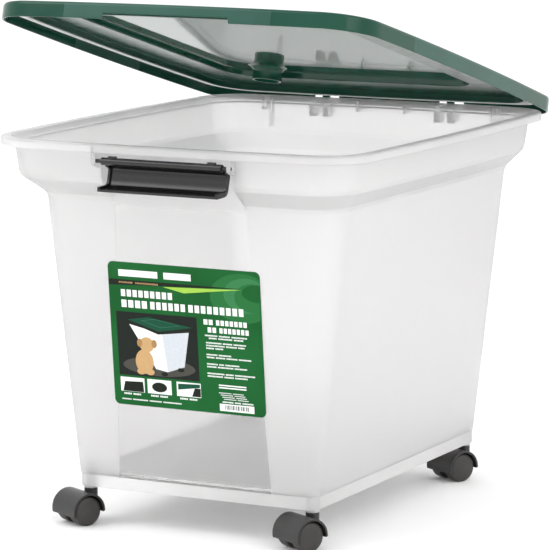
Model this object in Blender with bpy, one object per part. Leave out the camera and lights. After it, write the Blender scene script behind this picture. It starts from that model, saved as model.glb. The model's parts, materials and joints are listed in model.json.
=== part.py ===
"""A wheeled pet food bin: a translucent tub, a gasketed lid, a swing latch and four twin-wheel casters.

Metres, +Z up. The latch side is the front and faces -Y. The origin is on the floor, at the centre of the
bounding box. Tub coordinates run from the rim's centre in X and Y and from the skirt's lower edge in Z.
"""

import math
from functools import partial

import bmesh
import bpy
from mathutils import Vector

MM = 0.001

# Driving dimensions of the tub
TUB_HEIGHT = 380 * MM
TUB_LIFT = 41 * MM  # floor to the skirt's lower edge
RIM_CENTRE_Y = -3.4 * MM  # rim centre, from the centre of the bounding box
WALL = 2.2 * MM
SKIRT_HALF_X, SKIRT_FRONT, SKIRT_BACK = 142.5 * MM, 198.0 * MM, 214.0 * MM
SKIRT_RADIUS = 12 * MM
FLOOR_UNDER = 13 * MM
FLOOR_THICKNESS = 2.4 * MM
WALL_FOOT, WALL_HEAD = 15 * MM, 319 * MM
FOOT_HALF_X, FOOT_FRONT, FOOT_BACK = 143.3 * MM, 198.7 * MM, 214.8 * MM
HEAD_HALF_X, HEAD_FRONT, HEAD_BACK, HEAD_RADIUS = 176.6 * MM, 228.6 * MM, 244.7 * MM, 41 * MM
SHOULDER_FOOT, SHOULDER_TOP = 315 * MM, 342 * MM
SHOULDER_LEAN = 0.11  # how far the shoulder band leans in, for each unit of height
RIM_HALF_X, RIM_HALF_Y, RIM_RADIUS = 220.9 * MM, 273.8 * MM, 57 * MM
RIM_BOW = (5.2 * MM, 4.7 * MM)  # how far the middle of a side stands out from its ends
RIM_OVERHANG = 14.5 * MM
LIP_HEIGHT = 9 * MM
LIP_THICKNESS = 2 * MM
FLANGE_WIDTH = 12 * MM
LEDGE_DROP = 6.6 * MM  # rim top down to the step inside it

# The pocket that the latch hangs in
POCKET_HALF_X = 77 * MM
POCKET_DRAFT = 1 * MM
LUG_THICKNESS = 3.6 * MM

# Latch
LATCH_AXIS = Vector((0, -266 * MM, 362 * MM))  # tub coordinates
LATCH_HALF_X = 70 * MM
LATCH_HUB_RADIUS = 4 * MM
LATCH_PIN_RADIUS = 2 * MM
LATCH_THICKNESS = 2.6 * MM
LATCH_TAB_X = 58 * MM
LATCH_CURVE = [  # centre line of the hanging latch in mm, as (outwards from the hub, up from the hub)
    (0, 0),
    (-7, -2.5),
    (-13, -5.5),
    (-15.8, -9.5),
    (-14, -17.5),
    (-11.5, -25),
    (-7.5, -28.3),
    (2, -29),
    (11, -29.2),
]
RUNNING_GAP = 0.4 * MM  # between a pin and its bore
FIT_GAP = 0.3 * MM  # between pieces that rest on each other

# Lid, in its closed place, heights from the lid skirt's lower edge
HINGE_AXIS = Vector((0, 276.5 * MM, 372.5 * MM))  # tub coordinates
LID_ANGLE = math.radians(14.46)  # how far the lid stands open at rest
LID_HALF_X, LID_FRONT, LID_BACK, LID_RADIUS = 224.5 * MM, 278.4 * MM, 281.0 * MM, 52 * MM
LID_BOW = (6 * MM, 6 * MM, 4.5 * MM)  # sides, front, back
LID_SKIRT = 17.2 * MM
LID_BOTTOM = 370.5 * MM  # tub coordinates, closed
LID_SHEET = 2.2 * MM
NOTCH_HALF_X, NOTCH_DEPTH = 73.8 * MM, 5.8 * MM
PLUG_HALF_X, PLUG_FRONT, PLUG_BACK, PLUG_RADIUS = 203.6 * MM, 255 * MM, 251 * MM, 40 * MM
PLUG_BOW = (5.2 * MM, 4.7 * MM, 4.7 * MM)
PLUG_DEPTH = 7 * MM  # how far the plug ring hangs below the lid's flat band
PLUG_WIDTH = 2.8 * MM
PANEL_HALF_X, PANEL_FRONT, PANEL_BACK, PANEL_RADIUS = 153 * MM, 206 * MM, 181 * MM, 30 * MM
PANEL_RISE = 7.6 * MM  # how far the central panel stands above the flat band
CUP_CENTRE, CUP_RADIUS, CUP_WALL = (-98 * MM, 155 * MM), 17 * MM, 2.4 * MM
CUP_FOOT, CUP_FLARE = 7 * MM, 8 * MM  # lower edge of the round cup under the panel, and its root's fillet
GASKET_HALF_X, GASKET_FRONT, GASKET_BACK, GASKET_RADIUS = 220.4 * MM, 274.9 * MM, 273.4 * MM, 53 * MM
GASKET_BOW = (5.4 * MM, 5 * MM, 4.6 * MM)
KNUCKLE_INNER, KNUCKLE_OUTER = 67.5 * MM, 92.5 * MM  # the hinge ears' span on each side
KNUCKLE_WEB = (75.6 * MM, 84.0 * MM)
HINGE_PIN_RADIUS = 2.2 * MM
PIN_SEGMENTS = 16

# Label
LABEL_HALF_X, LABEL_LOW, LABEL_HIGH = 90 * MM, 96 * MM, 251 * MM
LABEL_THICKNESS, LABEL_RADIUS = 0.4 * MM, 6 * MM

# Casters
CASTER_X, CASTER_FRONT, CASTER_BACK = 133.3 * MM, -186 * MM, 202 * MM
CASTER_HEADING = math.radians(-27.6)
WHEEL_RADIUS, WHEEL_INNER, WHEEL_OUTER = 16 * MM, 4.4 * MM, 21.6 * MM
CASTER_TRAIL = 16 * MM
HOOD_RADIUS, HOOD_INNER, HOOD_HALF_WIDTH = 19.8 * MM, 17.6 * MM, 22 * MM
HOOD_ARC = (-2, 194)  # degrees round the axle, from the front
HOOD_WEB = 3.7 * MM  # half thickness of the web between the wheels
NECK_RADIUS, NECK_TOP = 7.2 * MM, 37.6 * MM
SOCKET_RADIUS, SOCKET_BORE, SOCKET_BOTTOM = 7.6 * MM, 5 * MM, 38 * MM
BOSS_RADIUS, BOSS_HEIGHT = 9.8 * MM, 14 * MM
STEM_RADIUS, STEM_FOOT = 4 * MM, 27 * MM
STEM_GROOVE = (56 * MM, 60 * MM)  # heights above the floor
AXLE_RADIUS = 2 * MM

PLASTICS = {  # colour, roughness, alpha
    "tub": ((0.86, 0.86, 0.87), 0.35, 0.45),
    "green": ((0.01, 0.085, 0.05), 0.3, 1.0),
    "white_rubber": ((0.85, 0.87, 0.85), 0.6, 1.0),
    "black": ((0.02, 0.02, 0.02), 0.35, 1.0),
    "grey": ((0.09, 0.085, 0.085), 0.5, 1.0),
    "label": ((0.03, 0.2, 0.05), 0.4, 1.0),
}
STEEL = ((0.6, 0.6, 0.62), 0.3, 1.0)


# Scene and mesh helpers


def clear_scene():
    for existing in list(bpy.data.objects):
        bpy.data.objects.remove(existing, do_unlink=True)


def make_material(name, finish, metallic=0.0):
    colour, roughness, alpha = finish
    material = bpy.data.materials.new(name)
    material.use_nodes = True
    shader = material.node_tree.nodes["Principled BSDF"]
    shader.inputs["Base Color"].default_value = (*colour, 1)
    shader.inputs["Roughness"].default_value = roughness
    shader.inputs["Metallic"].default_value = metallic
    shader.inputs["Alpha"].default_value = alpha
    return material


def make_object(name, builder, material=None, parent=None, location=(0, 0, 0), rotation=(0, 0, 0)):
    """An object whose mesh the builder fills in; without a material it is a hidden cutter."""
    form = bmesh.new()
    builder(form)
    bmesh.ops.recalc_face_normals(form, faces=form.faces)
    mesh = bpy.data.meshes.new(name)
    form.to_mesh(mesh)
    form.free()
    obj = bpy.data.objects.new(name, mesh)
    bpy.context.scene.collection.objects.link(obj)
    obj.parent = parent
    obj.location = location
    obj.rotation_euler = rotation
    if material:
        mesh.materials.append(material)
        mesh.shade_smooth()
        mesh.set_sharp_from_angle(angle=math.radians(35))
    else:
        obj.hide_render = True
        obj.display_type = "WIRE"
    return obj


def make_empty(name, location, rotation=(0, 0, 0)):
    empty = bpy.data.objects.new(name, None)
    bpy.context.scene.collection.objects.link(empty)
    empty.location = location
    empty.rotation_euler = rotation
    return empty


def combine(obj, helper, operation):
    modifier = obj.modifiers.new(helper.name, "BOOLEAN")
    modifier.operation = operation
    modifier.object = helper
    modifier.solver = "EXACT"


def add_loft(form, rings, looped=False):
    """Skins a list of rings with equal point counts; open lofts get a flat cap at each end."""
    loops = [[form.verts.new(point) for point in ring] for ring in rings]
    count = len(loops[0])
    pairs = list(zip(loops, loops[1:]))
    if looped:
        pairs.append((loops[-1], loops[0]))
    for lower, upper in pairs:
        for i in range(count):
            j = (i + 1) % count
            form.faces.new((lower[i], lower[j], upper[j], upper[i]))
    if not looped:
        form.faces.new(loops[0])
        form.faces.new(loops[-1])


def add_prism(form, face, travel):
    """Extrudes a flat face, given by its corners, along a vector."""
    travel = Vector(travel)
    start = [Vector(point) for point in face]
    add_loft(form, [start, [point + travel for point in start]])


def circle(centre, radius, axis, segments):
    """Points of a circle around an axis, which is 'X' or 'Z'."""
    points = []
    for i in range(segments):
        turn = math.tau * i / segments
        across, up = radius * math.cos(turn), radius * math.sin(turn)
        offset = (0, across, up) if axis == "X" else (across, up, 0)
        points.append(Vector(centre) + Vector(offset))
    return points


def add_rod(form, start, length, radius, axis, segments=24):
    travel = (length, 0, 0) if axis == "X" else (0, 0, length)
    add_prism(form, circle(start, radius, axis, segments), travel)


def add_turned(form, profile, axis, segments, looped=False):
    """Turns (radius, distance along the axis) points into a solid of rings."""
    along = Vector((1, 0, 0)) if axis == "X" else Vector((0, 0, 1))
    rings = [circle(along * distance, radius, axis, segments) for radius, distance in profile]
    add_loft(form, rings, looped)


def add_box(form, low, high):
    corners = [(low[0], low[1]), (high[0], low[1]), (high[0], high[1]), (low[0], high[1])]
    add_prism(form, [(x, y, low[2]) for x, y in corners], (0, 0, high[2] - low[2]))


# Rounded outlines with bowed sides

CORNER_STEPS = 6  # straight steps in a rounded corner


def stations(end, stops):
    """Positions along a side from -end to end, through both signs of each stop, each with its stop's flag.

    A stop is (distance from the middle, whether a recess or notch takes in that point)."""
    positive = [(0.0, stops[0][1]), *stops, ((stops[-1][0] + end) / 2, False)]
    negative = [(-distance, flag) for distance, flag in positive[:0:-1]]
    return negative + positive


def outline(half_x, front, back, radius, bows=(0, 0, 0), front_stops=None, back_stops=None):
    """Counter-clockwise (x, y, front flag, back flag) points. bows: sides, front, back.

    half_x, front and back are measured at the middle of each side."""
    side_bow, front_bow, back_bow = bows
    edge_x, edge_front, edge_back = half_x - side_bow, front - front_bow, back - back_bow
    end_x = edge_x - radius
    default_stops = [(end_x / 3, False), (end_x * 2 / 3, False)]
    points = []

    low_y, high_y = radius - edge_front, edge_back - radius

    def arc(centre_x, centre_y, first_quarter):
        for step in range(CORNER_STEPS + 1):
            turn = math.radians(90 * (first_quarter + step / CORNER_STEPS))
            x, y = centre_x + radius * math.cos(turn), centre_y + radius * math.sin(turn)
            points.append((x, y, False, False))

    def flank(side, shares):
        for share in shares:
            x = edge_x + side_bow * (1 - (2 * share - 1) ** 2)
            points.append((side * x, low_y + share * (high_y - low_y), False, False))

    for x, flag in stations(end_x, front_stops or default_stops):
        points.append((x, -edge_front - front_bow * (1 - (x / end_x) ** 2), flag, False))
    arc(end_x, low_y, 3)
    flank(1, (0.25, 0.5, 0.75))
    arc(end_x, high_y, 0)
    for x, flag in reversed(stations(end_x, back_stops or default_stops)):
        points.append((x, edge_back + back_bow * (1 - (x / end_x) ** 2), False, flag))
    arc(-end_x, high_y, 1)
    flank(-1, (0.75, 0.5, 0.25))
    arc(-end_x, low_y, 2)
    return points


# Tub


def blend(first, second, share):
    return tuple(a + (b - a) * share for a, b in zip(first, second))


def wall_section(height):
    """Half width, front, back, corner radius and bow of the plain wall's outer face at a height."""
    share = (height - WALL_FOOT) / (WALL_HEAD - WALL_FOOT)
    foot = (FOOT_HALF_X, FOOT_FRONT, FOOT_BACK, SKIRT_RADIUS, 0.0)
    head = (HEAD_HALF_X, HEAD_FRONT, HEAD_BACK, HEAD_RADIUS, 0.0)
    return blend(foot, head, share)


def shoulder_section(height):
    """The same for the wide shoulder band under the rim."""
    lean = SHOULDER_LEAN * (TUB_HEIGHT - LIP_HEIGHT - height)
    half_x, half_y = RIM_HALF_X - RIM_OVERHANG - lean, RIM_HALF_Y - RIM_OVERHANG - lean
    return half_x, half_y, half_y, RIM_RADIUS - RIM_OVERHANG, 1.0


def rim_section(inset):
    return RIM_HALF_X - inset, RIM_HALF_Y - inset, RIM_HALF_Y - inset, RIM_RADIUS - inset, 1.0


def tub_ring(height, section, inset=0.0, pocketed=False):
    """A ring of the tub; a pocketed one steps back to the plain wall where the latch hangs."""
    half_x, front, back, radius, bow = section
    bows = (RIM_BOW[0] * bow, RIM_BOW[1] * bow, RIM_BOW[1] * bow)
    edge = POCKET_HALF_X + inset
    stops = [(POCKET_HALF_X / 2, True), (edge - POCKET_DRAFT, True), (edge, False)]
    flat = outline(half_x - inset, front - inset, back - inset, max(radius - inset, 4 * MM), bows, stops)
    pocket_y = inset - wall_section(height)[1]
    return [(x, pocket_y if pocketed and in_pocket else y, height) for x, y, in_pocket, _ in flat]


def tub_rings():
    """From the floor's underside, up the outside, over the rim and down the inside to the floor."""
    skirt = (SKIRT_HALF_X, SKIRT_FRONT, SKIRT_BACK, SKIRT_RADIUS, 0.0)
    lip_foot, flange_under = TUB_HEIGHT - LIP_HEIGHT, TUB_HEIGHT - 2.4 * MM
    ledge = TUB_HEIGHT - LEDGE_DROP
    slope = [
        (SHOULDER_FOOT, 0.0),
        (SHOULDER_FOOT + 5 * MM, 0.1),
        (SHOULDER_TOP - 5 * MM, 0.92),
        (SHOULDER_TOP, 1.0),
    ]
    bend = [(z, blend(wall_section(z), shoulder_section(z), share)) for z, share in slope]
    plain = [(z, wall_section(z)) for z in (WALL_FOOT, 100 * MM, 210 * MM)]
    rings = [
        tub_ring(FLOOR_UNDER, skirt, WALL),
        tub_ring(0.0, skirt, WALL),
        tub_ring(0.0, skirt),
        tub_ring(WALL_FOOT - 1 * MM, skirt),
    ]
    rings += [tub_ring(z, section) for z, section in plain]
    rings += [tub_ring(z, section, pocketed=True) for z, section in bend]
    rings += [
        tub_ring(lip_foot - 0.6 * MM, shoulder_section(lip_foot), pocketed=True),
        tub_ring(lip_foot + 0.2 * MM, shoulder_section(lip_foot)),
        tub_ring(lip_foot + 1.4 * MM, rim_section(RIM_OVERHANG - 1.5 * MM)),
        tub_ring(flange_under, rim_section(FLANGE_WIDTH - 1.8 * MM)),
        tub_ring(flange_under, rim_section(LIP_THICKNESS + 0.3 * MM)),
        tub_ring(lip_foot, rim_section(LIP_THICKNESS)),
        tub_ring(lip_foot, rim_section(0.5 * MM)),
        tub_ring(lip_foot + 0.6 * MM, rim_section(0.0)),
        tub_ring(TUB_HEIGHT - 1.2 * MM, rim_section(0.0)),
        tub_ring(TUB_HEIGHT, rim_section(1.2 * MM)),
        tub_ring(TUB_HEIGHT, rim_section(FLANGE_WIDTH - 0.8 * MM)),
        tub_ring(TUB_HEIGHT - 0.9 * MM, rim_section(FLANGE_WIDTH)),
        tub_ring(ledge + 0.5 * MM, rim_section(RIM_OVERHANG + 0.4 * MM)),
        tub_ring(ledge, shoulder_section(ledge), WALL),
        tub_ring(ledge - 0.7 * MM, shoulder_section(lip_foot), WALL, pocketed=True),
    ]
    rings += [tub_ring(z, section, WALL, pocketed=True) for z, section in reversed(bend)]
    rings += [tub_ring(z, section, WALL) for z, section in reversed(plain[1:])]
    floor_top = FLOOR_UNDER + FLOOR_THICKNESS
    rings.append(tub_ring(floor_top + 3 * MM, wall_section(WALL_FOOT), WALL))
    rings.append(tub_ring(floor_top, wall_section(WALL_FOOT), WALL + 2.5 * MM))
    return rings


def add_hinge_ears(form):
    """Two ears on each side, which hold the ends of the lid's hinge pins."""
    axis_y, axis_z = HINGE_AXIS.y, HINGE_AXIS.z
    profile = [
        (axis_y - 18 * MM, axis_z - 14 * MM),
        (axis_y - 10 * MM, axis_z - 14 * MM),
        (axis_y + 4.3 * MM, axis_z - 4 * MM),
        (axis_y + 4.3 * MM, axis_z + 3 * MM),
        (axis_y + 2.5 * MM, axis_z + 4.5 * MM),
        (axis_y - 18 * MM, axis_z + 4.5 * MM),
    ]
    spans = [
        (KNUCKLE_INNER, KNUCKLE_WEB[0] - RUNNING_GAP),
        (KNUCKLE_WEB[1] + RUNNING_GAP, KNUCKLE_OUTER),
    ]
    for side in (-1, 1):
        for near, far in spans:
            add_prism(form, [(side * near, y, z) for y, z in profile], (side * (far - near), 0, 0))


def add_rim_ribs(form):
    """Pairs of ribs that stiffen the hollow under the rim at the back."""
    top = TUB_HEIGHT - 1.4 * MM
    ribs = [  # distance from the middle, half width, front, back and foot
        (150 * MM, 2.5 * MM, 252 * MM, 269 * MM, 364 * MM),
        (141 * MM, 1.3 * MM, 251 * MM, 261 * MM, 345 * MM),
        (30 * MM, 1.3 * MM, 256 * MM, 272.6 * MM, 366 * MM),
    ]
    for distance, half_width, front, back, foot in ribs:
        for x in (-distance, distance):
            add_box(form, (x - half_width, front, foot), (x + half_width, back, top))


def add_latch_lugs(form):
    """A lug on each side of the pocket, which takes the latch's pin."""
    axis_y, axis_z = LATCH_AXIS.y, LATCH_AXIS.z
    top = TUB_HEIGHT - 2 * MM
    profile = [
        (axis_y + 9 * MM, axis_z - 8 * MM),
        (axis_y + 1 * MM, axis_z - 6 * MM),
        (axis_y - 4 * MM, axis_z - 3.5 * MM),
        (axis_y - 5 * MM, axis_z),
        (axis_y - 5 * MM, top),
        (axis_y + 9 * MM, top),
    ]
    for side in (-1, 1):
        start = side * (POCKET_HALF_X + 0.2 * MM)
        add_prism(form, [(start, y, z) for y, z in profile], (side * LUG_THICKNESS, 0, 0))


def caster_places():
    """Name and stem position of each caster, in tub coordinates."""
    for end, y in (("front", CASTER_FRONT), ("back", CASTER_BACK)):
        for side, x in (("left", -CASTER_X), ("right", CASTER_X)):
            yield f"{end}_{side}", x, y


def add_sockets(form):
    """A tube under the floor for each caster stem, and a wider boss over it inside the tub."""
    bottom = SOCKET_BOTTOM - TUB_LIFT
    inside_floor = 0.6 * MM
    for _, x, y in caster_places():
        add_rod(form, (x, y, bottom), FLOOR_UNDER + inside_floor - bottom, SOCKET_RADIUS, "Z")
        add_rod(form, (x, y, FLOOR_UNDER + 0.2 * MM), BOSS_HEIGHT, BOSS_RADIUS, "Z", 28)


def add_tub_bores(form):
    """Socket bores, hinge pin holes and latch pin holes."""
    bottom = SOCKET_BOTTOM - TUB_LIFT
    for _, x, y in caster_places():
        length = FLOOR_UNDER + BOSS_HEIGHT - 2 * MM - bottom
        add_rod(form, (x, y, bottom - 1 * MM), length, SOCKET_BORE, "Z")
    for side in (-1, 1):
        start = (side * (KNUCKLE_INNER - 2 * MM), HINGE_AXIS.y, HINGE_AXIS.z)
        length = side * (KNUCKLE_OUTER - KNUCKLE_INNER + 4 * MM)
        add_rod(form, start, length, HINGE_PIN_RADIUS + RUNNING_GAP, "X", PIN_SEGMENTS)
        start = (side * (POCKET_HALF_X - 1 * MM), LATCH_AXIS.y, LATCH_AXIS.z)
        length = side * (LUG_THICKNESS + 2.4 * MM)
        add_rod(form, start, length, LATCH_PIN_RADIUS + RUNNING_GAP, "X", PIN_SEGMENTS)


def build_tub(root):
    material = make_material("tub_plastic", PLASTICS["tub"])
    tub = make_object("bin_shell", lambda form: add_loft(form, tub_rings()), material, root)
    for name, builder, operation in (
        ("hinge_ears", add_hinge_ears, "UNION"),
        ("rim_ribs", add_rim_ribs, "UNION"),
        ("latch_lugs", add_latch_lugs, "UNION"),
        ("sockets", add_sockets, "UNION"),
        ("tub_bores", add_tub_bores, "DIFFERENCE"),
    ):
        combine(tub, make_object(name, builder, parent=root), operation)


# Label


def build_label(root):
    """A thin sheet with rounded corners that lies on the sloping front wall."""
    foot, head = wall_section(LABEL_LOW)[1], wall_section(LABEL_HIGH)[1]
    slope = math.atan2(head - foot, LABEL_HIGH - LABEL_LOW)
    half_height = (LABEL_HIGH - LABEL_LOW) / math.cos(slope) / 2

    def sheet(form):
        flat = outline(LABEL_HALF_X, half_height, half_height, LABEL_RADIUS)
        add_prism(form, [(x, y, 0) for x, y, _, _ in flat], (0, 0, LABEL_THICKNESS))

    centre = (0, -(foot + head) / 2 - FIT_GAP, (LABEL_LOW + LABEL_HIGH) / 2)
    material = make_material("label_film", PLASTICS["label"])
    make_object("label", sheet, material, root, centre, (math.pi / 2 + slope, 0, 0))


# Lid and gasket


def lid_ring(height, section, lift=False, bows=LID_BOW):
    """A ring of the lid; a lifted one is raised in the latch's notch and over the hinge ears."""
    half_x, front, back, radius = section
    notch = [(NOTCH_HALF_X / 2, True), (NOTCH_HALF_X - 0.6 * MM, True), (NOTCH_HALF_X, False)]
    gap_in, gap_out = KNUCKLE_INNER - 4 * MM, KNUCKLE_OUTER + 4 * MM
    gaps = [(gap_in, False), (gap_in + 0.6 * MM, True), (gap_out - 0.6 * MM, True), (gap_out, False)]
    points = []
    for x, y, in_notch, in_gap in outline(half_x, front, back, radius, bows, notch, gaps):
        z = height
        if lift and in_notch:
            z += NOTCH_DEPTH
        if lift and in_gap:
            z += LID_SKIRT - 4.5 * MM
        points.append((x, y, z))
    return points


def lid_section(inset):
    return LID_HALF_X - inset, LID_FRONT - inset, LID_BACK - inset, LID_RADIUS - inset


def plug_ring(height, inset):
    section = (PLUG_HALF_X - inset, PLUG_FRONT - inset, PLUG_BACK - inset, PLUG_RADIUS - inset)
    return lid_ring(height, section, bows=PLUG_BOW)


def panel_ring(height, inset):
    section = (PANEL_HALF_X - inset, PANEL_FRONT - inset, PANEL_BACK - inset, PANEL_RADIUS - inset)
    return lid_ring(height, section, bows=(0, 0, 0))


PANEL_UNDER = LID_SKIRT - LID_SHEET + PANEL_RISE


def lid_rings():
    """From the raised panel's underside, out over the plug ring and the skirt, and back across the top."""
    band_under = LID_SKIRT - LID_SHEET
    plug_foot = band_under - PLUG_DEPTH
    panel_top = PANEL_UNDER + LID_SHEET
    return [
        panel_ring(PANEL_UNDER, 1.8 * MM),
        panel_ring(PANEL_UNDER - 1 * MM, 0.8 * MM),
        panel_ring(band_under + 0.8 * MM, 0),
        panel_ring(band_under, -0.8 * MM),
        plug_ring(band_under, PLUG_WIDTH),
        plug_ring(plug_foot + 0.6 * MM, PLUG_WIDTH - 0.2 * MM),
        plug_ring(plug_foot, PLUG_WIDTH - 0.8 * MM),
        plug_ring(plug_foot, 0.8 * MM),
        plug_ring(plug_foot + 0.6 * MM, 0.2 * MM),
        plug_ring(band_under, 0),
        lid_ring(band_under, lid_section(LID_SHEET)),
        lid_ring(0.3 * MM, lid_section(LID_SHEET - 0.2 * MM), lift=True),
        lid_ring(0.0, lid_section(LID_SHEET - 0.6 * MM), lift=True),
        lid_ring(0.0, lid_section(0.5 * MM), lift=True),
        lid_ring(0.5 * MM, lid_section(0), lift=True),
        lid_ring(LID_SKIRT - 3 * MM, lid_section(0)),
        lid_ring(LID_SKIRT - 0.9 * MM, lid_section(0.9 * MM)),
        lid_ring(LID_SKIRT, lid_section(3 * MM)),
        panel_ring(LID_SKIRT, -LID_SHEET - 1 * MM),
        panel_ring(LID_SKIRT + 1 * MM, -LID_SHEET),
        panel_ring(panel_top - 1.2 * MM, 0.6 * MM - LID_SHEET),
        panel_ring(panel_top, 1.8 * MM - LID_SHEET),
    ]


def on_hinge(points):
    """Closed-lid points, with heights from the lid skirt's edge, moved to the hinge axis as origin."""
    return [(x, y - HINGE_AXIS.y, z + LID_BOTTOM - HINGE_AXIS.z) for x, y, z in points]


def add_hinge_knuckles(form):
    """The two webs under the lid's back edge, each of which carries a hinge pin."""
    web_top = LID_BOTTOM + LID_SKIRT - 1 * MM - HINGE_AXIS.z
    half_thickness = 1.8 * MM
    for side in (-1, 1):
        low, high = sorted(side * end for end in KNUCKLE_WEB)
        add_box(form, (low, -half_thickness, -0.5 * MM), (high, half_thickness, web_top))


def add_hinge_pins(form):
    setback = 0.5 * MM  # from the ears' outer faces
    for side in (-1, 1):
        start = (side * (KNUCKLE_INNER + setback), 0, 0)
        length = side * (KNUCKLE_OUTER - KNUCKLE_INNER - 2 * setback)
        add_rod(form, start, length, HINGE_PIN_RADIUS, "X", PIN_SEGMENTS)


def add_panel_cup(form):
    """A round cup under the panel, open below, round its own axis; heights are from the lid skirt's edge."""
    top = PANEL_UNDER + 1 * MM
    inner = CUP_RADIUS - CUP_WALL
    profile = [
        (inner, top),
        (inner, CUP_FOOT),
        (CUP_RADIUS - 1 * MM, CUP_FOOT),
        (CUP_RADIUS, CUP_FOOT + 1 * MM),
    ]
    steps = 5
    for step in range(steps + 1):
        turn = math.pi / 2 * step / steps
        outwards, upwards = CUP_FLARE * (1 - math.cos(turn)), CUP_FLARE * math.sin(turn)
        profile.append((CUP_RADIUS + outwards, PANEL_UNDER - CUP_FLARE + upwards))
    profile.append((CUP_RADIUS + CUP_FLARE, top))
    add_turned(form, profile, "Z", 32, looped=True)


def build_lid(hinge):
    material = make_material("lid_plastic", PLASTICS["green"])
    rings = [on_hinge(ring) for ring in lid_rings()]
    lid = make_object("lid", lambda form: add_loft(form, rings), material, hinge)
    combine(lid, make_object("hinge_knuckles", add_hinge_knuckles, parent=hinge), "UNION")
    combine(lid, make_object("hinge_pins", add_hinge_pins, parent=hinge), "UNION")
    cup_place = (CUP_CENTRE[0], CUP_CENTRE[1] - HINGE_AXIS.y, LID_BOTTOM - HINGE_AXIS.z)
    combine(lid, make_object("panel_cup", add_panel_cup, parent=hinge, location=cup_place), "UNION")


def build_gasket(hinge):
    """A soft ring under the lid's flat band, which the closed lid sets down on the rim."""
    top = LID_SKIRT - LID_SHEET - FIT_GAP
    foot = TUB_HEIGHT - LID_BOTTOM + FIT_GAP

    def ring(height, inset):
        sides = (GASKET_HALF_X, GASKET_FRONT, GASKET_BACK, GASKET_RADIUS)
        flat = outline(*(side - inset for side in sides), GASKET_BOW)
        return on_hinge([(x, y, height) for x, y, _, _ in flat])

    section = [
        (top, 0),
        (top, 6 * MM),
        (foot + 1.2 * MM, 5.6 * MM),
        (foot, 4 * MM),
        (foot, 1.6 * MM),
        (foot + 1.2 * MM, 0),
    ]
    rings = [ring(height, inset) for height, inset in section]
    material = make_material("gasket_rubber", PLASTICS["white_rubber"])
    make_object("lid_gasket", lambda form: add_loft(form, rings, looped=True), material, hinge)


# Latch


def band(curve, half_thickness, shift=0.0):
    """The closed outline of a strip along a curve, in (outwards, up)."""
    points = [Vector(point) * MM for point in curve]
    left, right = [], []
    for i, point in enumerate(points):
        ahead = points[min(i + 1, len(points) - 1)] - points[max(i - 1, 0)]
        normal = Vector((-ahead.y, ahead.x)).normalized()
        left.append(point + normal * (half_thickness + shift))
        right.append(point - normal * (half_thickness - shift))
    return left + right[::-1]


def build_latch(root):
    """A hanging handle of crescent section, with stub pins, end ribs and two cam tabs."""

    def section(points, x):
        return [(x, -outwards, up) for outwards, up in points]

    def blade(form):
        side = section(band(LATCH_CURVE, LATCH_THICKNESS / 2), -LATCH_HALF_X)
        add_prism(form, side, (2 * LATCH_HALF_X, 0, 0))

    def hub(form):
        add_rod(form, (-LATCH_HALF_X, 0, 0), 2 * LATCH_HALF_X, LATCH_HUB_RADIUS, "X")

    def pins(form):
        pin_end = POCKET_HALF_X + 3 * MM
        add_rod(form, (-pin_end, 0, 0), 2 * pin_end, LATCH_PIN_RADIUS, "X", PIN_SEGMENTS)

    def trims(form):
        rib = band(LATCH_CURVE[1:], 2.4 * MM, 1.4 * MM)
        rib_width, setback = 2.5 * MM, 0.1 * MM
        for start in (setback - LATCH_HALF_X, LATCH_HALF_X - rib_width - setback):
            add_prism(form, section(rib, start), (rib_width, 0, 0))
        tab_half_width, tab_half_thickness, tab_height = 4 * MM, 2.4 * MM, 5.6 * MM
        for x in (-LATCH_TAB_X, LATCH_TAB_X):
            low = (x - tab_half_width, -tab_half_thickness, 0)
            add_box(form, low, (x + tab_half_width, tab_half_thickness, tab_height))

    material = make_material("latch_plastic", PLASTICS["black"])
    latch = make_object("latch_handle", blade, material, root, LATCH_AXIS)
    for name, builder in (("latch_hub", hub), ("latch_pins", pins), ("latch_trims", trims)):
        combine(latch, make_object(name, builder, parent=root, location=LATCH_AXIS), "UNION")


# Casters


def hood_profile():
    """Side outline of the hood around the wheel centre, as (forwards, up), closed under the axle."""
    first, last = HOOD_ARC
    steps = 28
    arc = []
    for step in range(steps + 1):
        turn = math.radians(first + (last - first) * step / steps)
        arc.append((HOOD_RADIUS * math.cos(turn), HOOD_RADIUS * math.sin(turn)))
    return arc + [(-8 * MM, -7 * MM), (8 * MM, -5 * MM)]


def build_hood(name, swivel, material):
    """The caster's body: a hood over both wheels, a web between them and a neck for the stem."""
    centre_y, centre_z = -CASTER_TRAIL, WHEEL_RADIUS

    def hood(form):
        start = -HOOD_HALF_WIDTH
        side = [(start, centre_y + forwards, centre_z + up) for forwards, up in hood_profile()]
        add_prism(form, side, (2 * HOOD_HALF_WIDTH, 0, 0))

    def neck(form):
        foot = 21.5 * MM
        add_rod(form, (0, 0, foot), NECK_TOP - foot, NECK_RADIUS, "Z")

    def spaces(form):
        for side in (-1, 1):
            start = (side * HOOD_WEB, centre_y, centre_z)
            add_rod(form, start, side * 2 * HOOD_HALF_WIDTH, HOOD_INNER, "X", 48)

    def bores(form):
        add_rod(form, (0, 0, STEM_FOOT - 1 * MM), NECK_TOP, STEM_RADIUS + RUNNING_GAP, "Z")
        start = (-2 * HOOD_WEB, centre_y, centre_z)
        add_rod(form, start, 4 * HOOD_WEB, AXLE_RADIUS + FIT_GAP, "X", PIN_SEGMENTS)

    body = make_object(f"caster_hood_{name}", hood, material, swivel)
    combine(body, make_object(f"neck_{name}", neck, parent=swivel), "UNION")
    combine(body, make_object(f"wheel_spaces_{name}", spaces, parent=swivel), "DIFFERENCE")
    combine(body, make_object(f"caster_bores_{name}", bores, parent=swivel), "DIFFERENCE")


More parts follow.
